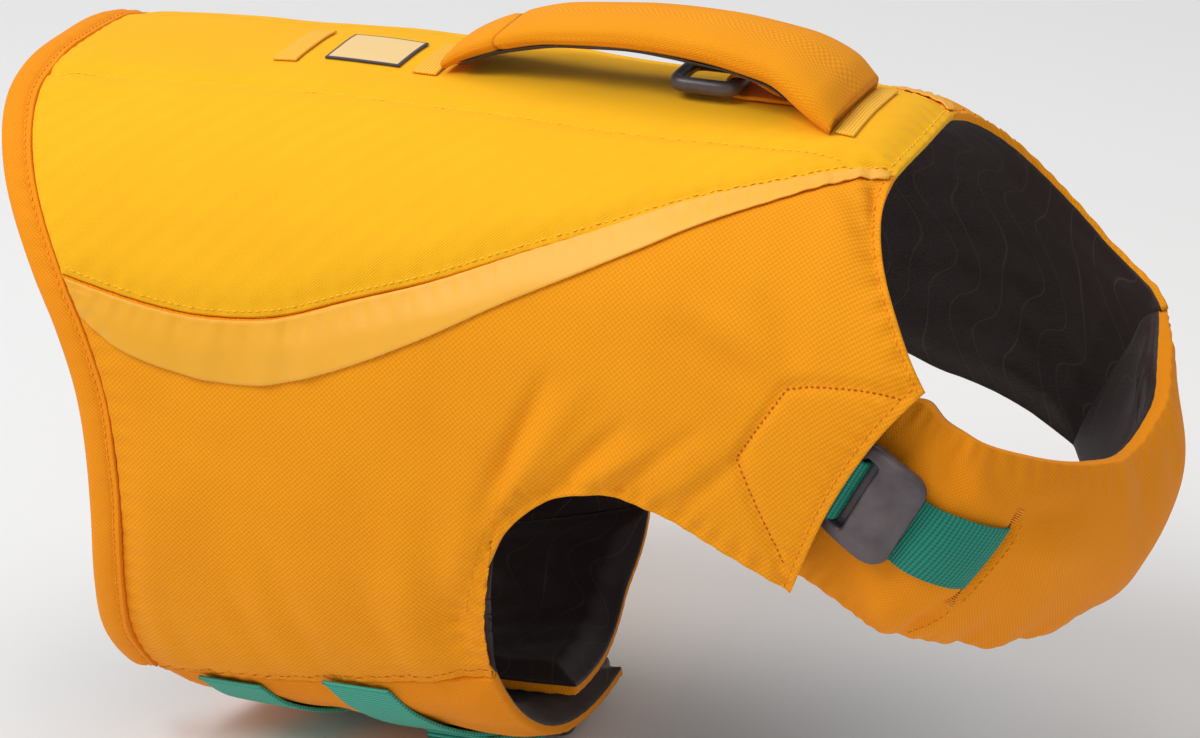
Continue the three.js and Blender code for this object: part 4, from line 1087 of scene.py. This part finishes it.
# Dimples and folds of the band: start s and t, end s and t, width and height. Their distances are
# taken on the band laid flat, BAND_LONG by BAND_TALL.
BAND_LONG = 290
BAND_TALL = 84
SLIT_TOP = (0.362, 0.235)
SLIT_LOW = (0.331, 0.66)
BAND_SEAM_LOW = (0.321, 0.97)
FOLDS_BAND = [
    (0.22, 0.06, 0.27, 0.26, 7.0, -2.4),
    (0.27, 0.14, 0.35, 0.20, 6.0, 1.5),
    (0.30, 0.08, 0.34, 0.18, 6.0, -1.6),
    (0.37, 0.24, 0.47, 0.16, 6.0, -1.7),
    (0.39, 0.34, 0.50, 0.38, 8.0, 1.2),
    (0.321, 0.72, 0.320, 1.0, 3.4, -2.6),
    (0.35, 0.74, 0.40, 0.92, 8.0, 1.4),
    (0.24, 0.80, 0.29, 0.92, 7.0, 1.6),
    (0.42, 0.78, 0.44, 1.0, 5.0, -2.2),
    (0.48, 0.86, 0.49, 1.0, 6.0, 1.4),
    (0.53, 0.80, 0.55, 1.0, 6.0, -1.6),
    (0.62, 0.06, 0.64, 0.30, 7.0, -1.6),
    (0.56, 0.0, 0.57, 0.2, 6.0, 1.2),
    (0.72, 0.10, 0.74, 0.36, 7.0, -1.3),
    (0.60, 0.70, 0.66, 0.96, 8.0, -1.6),
    (0.70, 0.80, 0.73, 1.0, 6.0, 1.4),
]


def band_top(s, t):
    a, b = s * BAND_LONG, t * BAND_TALL
    folds = creases(
        [(s0 * BAND_LONG, t0 * BAND_TALL, s1 * BAND_LONG, t1 * BAND_TALL, width, height)
         for s0, t0, s1, t1, width, height in FOLDS_BAND], a, b)
    free = smooth(s / 0.12) * smooth((1 - s) / 0.08)
    slit = creases(
        [(SLIT_TOP[0] * BAND_LONG, SLIT_TOP[1] * BAND_TALL, SLIT_LOW[0] * BAND_LONG,
          SLIT_LOW[1] * BAND_TALL, 1.5, -2.2)], a, b)
    rims = 0.35 * np.sin(a * 2 * np.pi / 9 + 2 * wander(a, b, 50, 61)) * bell(
        np.minimum(b, BAND_TALL - b) - 4, 5)
    return band_sink(s, t) + free * (folds + 0.9 * wander(a, b, 60, 60) + rims) + slit


def band(s, t, lift=0.0):
    s, t = np.broadcast_arrays(np.asarray(s, float), np.asarray(t, float))
    height = band_top(s, t) + lift
    return band_point(s, t) + height[..., None] * band_normal(s, t)


BAND_OVERLAP = 0.009            # how far the band runs under the left side, as a share of it
s, t = np.meshgrid(np.linspace(0, 1 + BAND_OVERLAP, 181), np.linspace(0, 1, 61), indexing="ij")
t = t + 0.032 * bell(s - 0.185, 0.04) * (1 - t)
spots = np.stack([s * BAND_LONG, t * BAND_TALL], -1)
gathers = 0.8 * np.sin(s * BAND_LONG * 2 * np.pi / 15 + 2.5 * wander(s * BAND_LONG, t * 40, 40, 66))
depth = -band_thick(s, t) - 2 + gathers * bell(t - 0.2, 0.3) * smooth(t / 0.15)
band_outer = band(s, t)
band_inner = band_point(s, t) + (band_sink(s, t) + depth)[..., None] * band_normal(s, t)
band_piece = shell(
    "chest_band_cloth", band_outer, band_inner, spots, [SMOOTH_ORANGE, LINING], rim_steps=8,
    roundness=0.4, cloth_share=0.6, stands_for=("chest_band", "lining_chest"))


# Topstitching, and the painted shadow in the band's slit
def band_line(start, end, lift=0.0, count=60):
    """Points and normals of the band's face between two places on it."""
    share = np.linspace(0, 1, count)
    s, t = (start[i] + (end[i] - start[i]) * share for i in (0, 1))
    return band(s, t, lift), band_normal(s, t)


def bar_tack(centre, ahead, up, length=8.0, width=2.2, pitch=0.5):
    """A bar of short stitches side by side, as seams for stitches()."""
    across = np.cross(up, ahead)
    seams = []
    for along in np.arange(-length / 2, length / 2, pitch):
        middle = centre + along * ahead
        seams.append((np.array([middle - across * width / 2, middle + across * width / 2]),
                      np.array([up, up])))
    return seams


yellow_seams = [
    back.sewn(BACK_EDGE), back.sewn(BACK_EDGE * MIRROR), back.sewn(BACK_CHANNEL),
    back.sewn(BACK_CHANNEL * MIRROR), back.sewn(BACK_NECK),
]
stitches("back_stitches", yellow_seams, YELLOW_THREAD)
side_seams = [
    right.sewn(NECK_STITCHES), right.sewn(FLAP_STITCHES), left.sewn(NECK_STITCHES_LEFT),
    (binding_outer[:, BINDING_ROW], body_normal(x_binding, g_binding)),
]
stitches("side_stitches", side_seams, ORANGE_THREAD)
stitches(
    "lower_edge_stitches", [right.sewn(HEM_STITCHES), left.sewn(HEM_STITCHES * MIRROR)],
    BRIGHT_THREAD, pitch=3.0, length=2.4, thick=0.42)
stitches("foam_end_stitches", [right.sewn(PENTAGON)], RED_THREAD, pitch=2.1, length=1.3)
slit_middle, slit_normals = band_line(SLIT_TOP, SLIT_LOW)
slit_ahead = unit(slit_middle[-1] - slit_middle[0])
tacks = []
for end in (0, -1):
    tacks += bar_tack(
        slit_middle[end] + 0.8 * slit_normals[end], slit_ahead, slit_normals[end], length=5.5,
        width=4.2, pitch=0.85)
stitches("slit_bar_tacks", tacks, BRIGHT_THREAD, pitch=20, length=4.2, thick=0.26)
stitches(
    "band_stitches",
    [band_line((SLIT_LOW[0] + 0.008, SLIT_LOW[1] + 0.05), (BAND_SEAM_LOW[0] + 0.01, 0.96)),
     band_line((SLIT_TOP[0] + 0.014, SLIT_TOP[1] + 0.02), (SLIT_LOW[0] + 0.014, SLIT_LOW[1]))],
    ORANGE_THREAD)
# A thin dark cord along the slit, a painted shadow of the slit's opening rather than a real cord.
tube("slit_painted_shadow", slit_middle + 0.1 * slit_normals, 0.35, SLIT_SHADOW, sides=8)


# Satin trim
def laid(name, spots, under, thick, materials, roundness=0.3, uv=None, gap=SKIN_GAP, **made):
    """A thin piece laid on a panel at rows and columns of x and g."""
    x, g = spots[..., 0], spots[..., 1]
    top = under(x, g)
    return shell(
        name, body(x, g, top + gap + thick), body(x, g, top + gap), spots if uv is None else uv,
        materials, rim_steps=3, roundness=roundness, cloth_share=1.0, **made)


def trim_rear(t):
    (x, g), (low_x, low_g) = SEAM[0], TRIM[0]
    return np.stack([x + 0.6 + (low_x - x) * t, g + 0.6 + (low_g - g) * t], -1)


def trim_front(t):
    (x, g), (_, low_g) = SEAM[-1], TRIM[-1]
    return np.stack([x - 0.6 + 0 * t, g + (low_g - g) * t], -1)


def trim_spots(turn):
    """Points of the trim on the pattern, a little short of its ends."""
    patch = Patch(top=seam, low=line(TRIM), rear=trim_rear, front=trim_front)
    u, v = np.meshgrid(np.linspace(0.004, 0.996, 161), np.linspace(0.0, 1, 15), indexing="ij")
    return patch.at(u, v) * turn


def trim_height(panel):
    """The satin follows its panel, with soft upright wrinkles along its middle."""
    def height(x, g):
        girth = np.abs(g)
        across = wander(x, girth * 0.15, 15, 71)
        deep = 1.6 * bell((x + 30) / 34, 1.0) + 0.3
        return panel.top(x, g) + 0.35 * deep * np.maximum(across, -0.6) + 0.25
    return height


for side, turn, panel in (("right", np.array([1, 1]), right), ("left", MIRROR, left)):
    piece = laid(
        f"trim_{side}_satin", trim_spots(turn), trim_height(panel), 0.7, [SATIN],
        stands_for=(f"trim_{side}",))

# Tapes and label across the back
PLACES = [
    ("rear_tape", -58, -49, 17, TAPE),
    ("handle_tape_rear", -6, 3, 16, TAPE),
    ("handle_tape_front", 149.5, 156, 24, TAPE),
    ("label", *LABEL_PLACE, LABEL),
]
for name, rear, front, half, material in PLACES:
    u, v = grid(17, 41)
    spots = np.stack([rear + (front - rear) * u, half * (2 * v - 1)], -1)
    piece = laid(f"{name}_cloth", spots, back.top, 0.8, [material], stands_for=(name,))


# Handle
def handle_row(x):
    return [column(HANDLE, i, x) for i in (1, 2, 3)]


def signed_power(value, power):
    return np.sign(value) * np.abs(value) ** power


def handle_point(x, angle, lift=0.0):
    z, half, thick = handle_row(x)
    ahead, behind = (column(HANDLE, 1, np.clip(x + step, *HANDLE_ENDS)) for step in (1, -1))
    slope = (ahead - behind) / 2
    across = (half + lift) * signed_power(np.cos(angle), 2 / HANDLE_POWER)
    out = (thick + lift) * signed_power(np.sin(angle), 2 / HANDLE_POWER)
    tilt = np.arctan(slope)
    skirt = smooth((x - 122) / 22) * smooth(0.55 - np.sin(angle))
    side = -across * (1 + 0.1 * skirt)
    return np.stack([x - out * np.sin(tilt), side, z + out * np.cos(tilt) - 2.8 * skirt], -1)


def handle_loft(name, start, end, rows, node, seam_at_start):
    """A length of the padded handle, with the bowed cross seam at one of its ends."""
    sides = 72
    u = np.linspace(0, 1, rows)[:, None]
    angle = 2 * np.pi * np.arange(sides)[None] / sides
    bow = HANDLE_BOW * np.cos(angle) ** 2
    first, last = (start + bow, end) if seam_at_start else (start, end + bow)
    x = first + (last - first) * u
    near_seam = np.minimum(np.abs(x - HANDLE_SEAM_X - bow), 40)
    lift = -0.7 * bell(near_seam, 1.6) + 0.3 * wander(x, angle * 16, 40, 81)
    lift = lift - 0.35 * bell(signed_power(np.sin(angle), 1) + 0.25, 0.12)
    points = handle_point(x, angle + 0 * x, lift)
    pattern = np.stack(np.broadcast_arrays(x, angle * HANDLE_PATTERN), -1)
    closing = pattern[:, :1].copy()
    closing[..., 1] = 2 * np.pi * HANDLE_PATTERN
    flat = np.concatenate([points, points[:, :1]], axis=1).reshape(-1, 3)
    pattern = np.concatenate([pattern, closing], axis=1)
    count = sides + 1
    caps = [list(range(sides)), [(rows - 1) * count + k for k in range(sides)][::-1]]
    faces = turned_out(flat, grid_faces(rows, count)).tolist()
    piece = add_mesh(name, flat, faces + caps, [ORANGE], pattern.reshape(-1, 2), stands_for=(node,))


handle_loft("handle_end_cloth", HANDLE_ENDS[0], HANDLE_SEAM_X - 0.15, 26, "handle_end_rear", False)
handle_loft("handle_grip_cloth", HANDLE_SEAM_X + 0.15, HANDLE_ENDS[1], 120, "handle_grip", True)

u, v = grid(101, 25)
x, angle = 9 + 124 * u, np.pi * (1.15 + 0.7 * v)
rumple = 0.25 * wander(x, angle * 16, 16, 83)
under_cloth = shell(
    "handle_under_cloth", handle_point(x, angle, 0.8 + rumple), handle_point(x, angle, 0.3 + rumple),
    np.stack([x, angle * 18], -1), [LINING], rim_steps=3, stands_for=("handle_under",))

# Leash ring and its webbing loop
angle = np.linspace(0, 2 * np.pi, 144, endpoint=False)
ring_path = np.stack([
    RING["x"] + (RING["length"] - RING["bar"]) / 2 * signed_power(np.cos(angle), 2 / RING["power"]),
    (RING["width"] - RING["bar"]) / 2 * signed_power(np.sin(angle), 2 / RING["power"]),
    RING["z"] + 0 * angle], -1)
ring_path = run_along(np.vstack([ring_path, ring_path[:1]]))(np.linspace(0, 1, 161)[:-1])
ring_piece = tube(
    "leash_ring_moulded", ring_path, RING["bar"] / 2, PLASTIC, sides=24, closed=True,
    tall=RING["tall"] / RING["bar"], rides="ring", stands_for=("leash_ring",))


def webbing_shell(name, outer, inner, uv, material, **made):
    """A strip of webbing between two grids of points."""
    return shell(
        name, outer, inner, uv, [material], rim_steps=4, roundness=0.35, cloth_share=1, **made)


def ribbon(name, path, across, half, thick, material, steps=15, **made):
    """A flat strip of webbing along a row of points, with its width across."""
    path = np.asarray(path, float)
    along = unit(np.gradient(path, axis=0))
    across = np.broadcast_to(across, path.shape)
    normal = unit(np.cross(along, across))
    v = np.linspace(-1, 1, steps)
    middle = path[:, None] + half * v[None, :, None] * across[:, None]
    uv = np.stack(np.broadcast_arrays(run_lengths(path)[:, None], half * v[None]), -1)
    offset = normal[:, None] * thick / 2
    return webbing_shell(name, middle + offset, middle - offset, uv, material, **made)


LOOP = {"half": 7.6, "front": 131, "thick": 1.4, "above": 2.2}
turn = RING["tall"] / 2 + 0.35 + LOOP["thick"] / 2
low = RING["z"] - turn
loop_rows = [
    [LOOP["front"], low + LOOP["above"]], [PIVOT_X + 14, low + LOOP["above"] + 0.6],
    [PIVOT_X + 6, RING["z"] + turn - 1.2], [PIVOT_X, RING["z"] + turn],
    [PIVOT_X - turn * math.sqrt(0.5), RING["z"] + turn * math.sqrt(0.5)],
    [PIVOT_X - turn, RING["z"]],
    [PIVOT_X - turn * math.sqrt(0.5), RING["z"] - turn * math.sqrt(0.5)],
    [PIVOT_X, low], [PIVOT_X + 8, low], [LOOP["front"], low],
]
loop_line = line(loop_rows)(np.linspace(0, 1, 111))
loop_path = np.stack([loop_line[:, 0], 0 * loop_line[:, 0], loop_line[:, 1]], -1)
ring_loop = ribbon(
    "ring_loop_webbing", loop_path, np.array([0, 1, 0]), LOOP["half"], LOOP["thick"], BINDING,
    stands_for=("ring_loop",))


# Chest strap, its buckle and its loop
def strap_middle(s):
    share = (s - CHEST_STRAP_FROM[0]) / (CHEST_STRAP_TO[0] - CHEST_STRAP_FROM[0])
    return CHEST_STRAP_FROM[1] + (CHEST_STRAP_TO[1] - CHEST_STRAP_FROM[1]) * share


u, v = grid(61, 19, -0.5, 0.5)
s = CHEST_STRAP_FROM[0] + (CHEST_STRAP_TO[0] - CHEST_STRAP_FROM[0]) * u
s = s + (u * v) * -0.028
t = strap_middle(s) + v * WEBBING_WIDTH / CHEST_STRAP_HEIGHT
sag = 0.5 * np.sin(np.pi * u)
uv = np.stack([u * 47, v * WEBBING_WIDTH], -1)
strap_gap = SKIN_GAP + 0.4 + sag - 0.9 * smooth((u - 0.85) / 0.15)
chest_strap = webbing_shell(
    "chest_strap_webbing", band(s, t, strap_gap + WEBBING), band(s, t, strap_gap), uv, TEAL,
    stands_for=("chest_strap",))

buckle_s, buckle_t = BUCKLE["at"]
buckle_base = band_sink(np.array(buckle_s), np.array(buckle_t))
buckle_up = band_normal(buckle_s, buckle_t)
buckle_at = band_point(buckle_s, buckle_t) + (buckle_base + BUCKLE["lift"]) * buckle_up
ahead_t = strap_middle(buckle_s + 0.03) - strap_middle(buckle_s) + buckle_t
buckle_along = band_point(buckle_s + 0.03, ahead_t) - band_point(buckle_s, buckle_t)
buckle_along = unit(buckle_along - (buckle_along @ buckle_up) * buckle_up)
buckle_across = np.cross(buckle_up, buckle_along)


def moulded(name, outlines, bend, place, axes, material, voxel=0.4, **made):
    """A moulded plastic piece: flat outlines with rounded edges, each with its holes, remeshed as one,
    bent, and put in its place. Each outline is (rings of points, low, high, edge radius)."""
    parts = []
    for rings, low, high, edge in outlines:
        curve = bpy.data.curves.new(name, "CURVE")
        curve.dimensions = "2D"
        curve.fill_mode = "BOTH"
        curve.extrude = (high - low) / 2 - edge
        curve.bevel_depth = edge
        curve.bevel_resolution = 3
        curve.offset = -edge
        for ring in rings:
            spline_ = curve.splines.new("POLY")
            spline_.points.add(len(ring) - 1)
            spline_.points.foreach_set("co", [c for a, b in ring for c in (a, b, 0, 1)])
            spline_.use_cyclic_u = True
        flat = bpy.data.objects.new(name, curve)
        bpy.context.scene.collection.objects.link(flat)
        bpy.context.view_layer.update()
        part = bpy.data.meshes.new_from_object(flat)
        part.transform(Matrix.Translation((0, 0, (low + high) / 2)))
        bpy.data.objects.remove(flat)
        parts.append(part)
    joined = bmesh.new()
    for part in parts:
        joined.from_mesh(part)
    bmesh.ops.remove_doubles(joined, verts=joined.verts, dist=1e-4)
    mesh = bpy.data.meshes.new(name)
    joined.to_mesh(mesh)
    joined.free()
    holder = bpy.data.objects.new(name, mesh)
    bpy.context.scene.collection.objects.link(holder)
    remesh = holder.modifiers.new("remesh", "REMESH")
    remesh.mode = "VOXEL"
    remesh.voxel_size = voxel
    softened = holder.modifiers.new("smooth", "SMOOTH")
    softened.iterations = 4
    softened.factor = 0.5
    bpy.context.view_layer.update()
    made_mesh = bpy.data.meshes.new_from_object(
        holder.evaluated_get(bpy.context.evaluated_depsgraph_get()))
    bpy.data.objects.remove(holder)
    points = np.zeros(len(made_mesh.vertices) * 3)
    made_mesh.vertices.foreach_get("co", points)
    points = bend(points.reshape(-1, 3))
    along, across, up = axes
    points = place + points[:, :1] * along + points[:, 1:2] * across + points[:, 2:] * up
    faces = [tuple(p.vertices) for p in made_mesh.polygons]
    return add_mesh(name, points, faces, [material], **made)


def rounded_box(left, right, half, corner, steps=8):
    """A rounded outline from left to right, half wide each way."""
    ring = []
    for cx, cy, start in (
        (right - corner, half - corner, 0), (left + corner, half - corner, 90),
        (left + corner, -half + corner, 180), (right - corner, -half + corner, 270)):
        for a in np.radians(start + np.linspace(0, 90, steps)):
            ring.append((cx + corner * math.cos(a), cy + corner * math.sin(a)))
    return ring


def buckle_bend(points):
    """Crowns the buckle's wide plate and turns its front edge down on the strap."""
    a, b, h = points.T
    crown = 1.7 * (1 - (b / 18) ** 2) + 1.2 * bell((a - 3) / 8, 1.0)
    raised = h + crown * smooth((h + 0.5) / 4) - 1.2 * smooth((a - 6) / 9) * (h > 2)
    return np.stack([a, b, raised], -1)


def unbent(points):
    return points


half_long, half_wide = BUCKLE["length"] / 2, BUCKLE["width"] / 2
chest_buckle = moulded(
    "chest_buckle_moulded",
    [([rounded_box(-half_long, half_long, half_wide, 7),
       rounded_box(-half_long + 4.6, -half_long + 10.4, 13.6, 1.2, 3)[::-1]], 0, BUCKLE["thick"], 1.3),
     # The thin second plate is a floor under the slot: painted shade, a dark sheet standing in for the
     # deep shadow seen through the slot.
     ([rounded_box(-half_long + 6.4, -half_long + 12, 14.5, 1)], 0, 1.0, 0.3)],
    buckle_bend, buckle_at, (buckle_along, buckle_across, buckle_up), PLASTIC,
    stands_for=("chest_buckle",))

BUCKLE_LOOP = [[-17.2, -0.9], [-11.7, -1.05], [-8.7, -0.4], [-7.9, 2], [-8.5, 5.0], [-10.7, 6.2],
               [-13.1, 6.0], [-15.3, 4.6], [-17.2, 2.2]]
loop_line = line(BUCKLE_LOOP)(np.linspace(0, 1, 81))
chest_loop = ribbon(
    "chest_loop_webbing", buckle_at + loop_line[:, :1] * buckle_along + loop_line[:, 1:] * buckle_up,
    buckle_across, WEBBING_WIDTH / 2, WEBBING - 0.1, TEAL, steps=19, stands_for=("chest_loop",))


# Belly straps, their buckles and the folded strap end
def strap_spot(strap, g, across, lift):
    whole = 2 * belly_girth(strap["middle"])
    mirrored = g > CLIP["to"]
    own = np.where(mirrored, whole - g, g)
    clip = np.where(mirrored, whole - CLIP["to"], CLIP["from"])
    share = np.minimum((own - strap["seam"]) / (clip - strap["seam"]), 1)
    x = strap["x"] + (strap["middle"] - strap["x"]) * share + across
    sewn = 1 - smooth((own - strap["seam"]) / 15)
    return body(x, np.where(mirrored, -own, own), lift - FOAM * 0.15 * sewn)


def belly_webbing(name, strap, start, end, low, high, node, rows=61):
    u, v = grid(rows, 19, -0.5, 0.5)
    g = start + (end - start) * u
    across = v * WEBBING_WIDTH
    length = abs(end - start)
    piece = webbing_shell(
        name, strap_spot(strap, g, across, high), strap_spot(strap, g, across, low),
        np.stack([u * length, across], -1), PALE_TEAL, stands_for=(node,))


for name, strap in STRAPS.items():
    far_seam = 2 * belly_girth(strap["middle"]) - strap["seam"]
    for side, start, end in (
        ("right", strap["seam"], CLIP["from"] - 0.3), ("left", CLIP["to"] + 0.3, far_seam)):
        belly_webbing(
            f"belly_strap_{name}_{side}_webbing", strap, start, end, STRAP_LIFT, STRAP_LIFT + WEBBING,
            f"belly_strap_{name}_{side}")
    middle = (CLIP["from"] + CLIP["to"]) / 2
    up = body_normal(strap["middle"], middle)
    along = unit(body_point(strap["middle"], middle + 5) - body_point(strap["middle"], middle - 5))
    across = np.cross(up, along)
    place = body(strap["middle"], middle, CLIP["lift"])
    moulded(
        f"belly_buckle_{name}_moulded",
        [([rounded_box(-23, 5, CLIP["half"], 5)], 0, CLIP["thick"], 2.4),
         ([rounded_box(1, 10, 9.5, 2)], 1.2, 6.8, 1.5),
         ([rounded_box(8, 23, CLIP["half"], 5), rounded_box(15.5, 19.5, 13, 1, 3)[::-1]], 0.4, 7.6, 1.8),
         ([rounded_box(-12, 12, 3.2, 1.4)], 1.5, 6.4, 1.2)],
        unbent, place, (along, across, up), PLASTIC, voxel=0.5,
        stands_for=(f"belly_buckle_{name}",))

tail_low = STRAP_LIFT + WEBBING + SKIN_GAP
tail_long = TAIL["to"] - TAIL["from"]
for k in range(TAIL["layers"]):
    u, v = grid(25, 15, -0.5, 0.5)
    g = TAIL["from"] + 0.8 * k + tail_long * u
    low = tail_low + k * WEBBING
    across = v * WEBBING_WIDTH
    fold = webbing_shell(
        f"strap_tail_fold_{k + 1}", strap_spot(STRAPS["front"], g, across, low + WEBBING - 0.1),
        strap_spot(STRAPS["front"], g, across, low), np.stack([u * tail_long, across], -1),
        PALE_TEAL, stands_for=("strap_tail",) if k == 0 else ())


# Stage
floor_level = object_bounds()[0][2]
floor_mesh = bpy.data.meshes.new("floor")
floor_mesh.from_pydata([(-6, -6, 0), (6, -6, 0), (6, 6, 0), (-6, 6, 0)], [], [(0, 1, 2, 3)])
floor = bpy.data.objects.new("floor", floor_mesh)
floor.location.z = floor_level
bpy.context.scene.collection.objects.link(floor)
pale = bpy.data.materials.new("pale_floor")
pale.use_nodes = True
pale.node_tree.nodes["Principled BSDF"].inputs["Base Color"].default_value = (0.9, 0.9, 0.9, 1)
pale.node_tree.nodes["Principled BSDF"].inputs["Roughness"].default_value = 0.9
floor_mesh.materials.append(pale)

world = bpy.data.worlds.new("studio")
world.use_nodes = True
world.node_tree.nodes["Background"].inputs["Color"].default_value = (1, 1, 1, 1)
world.node_tree.nodes["Background"].inputs["Strength"].default_value = 0.38
bpy.context.scene.world = world
bpy.context.scene.view_settings.view_transform = "Standard"

# Lamps: name, place, width and power. Each points at the jacket.
LAMPS = [
    ("key", (-0.95, -1.15, 1.75), 1.2, 34),
    ("top", (0.0, 0.4, 1.9), 1.4, 12),
    ("fill", (1.5, -1.0, 0.9), 1.0, 2.2),
]
for name, place, width, power in LAMPS:
    lamp_data = bpy.data.lights.new(name, "AREA")
    lamp_data.size = width
    lamp_data.energy = power
    lamp = bpy.data.objects.new(name, lamp_data)
    lamp.location = place
    lamp.rotation_euler = (Vector(place) - TARGET).to_track_quat("Z", "Y").to_euler()
    bpy.context.scene.collection.objects.link(lamp)
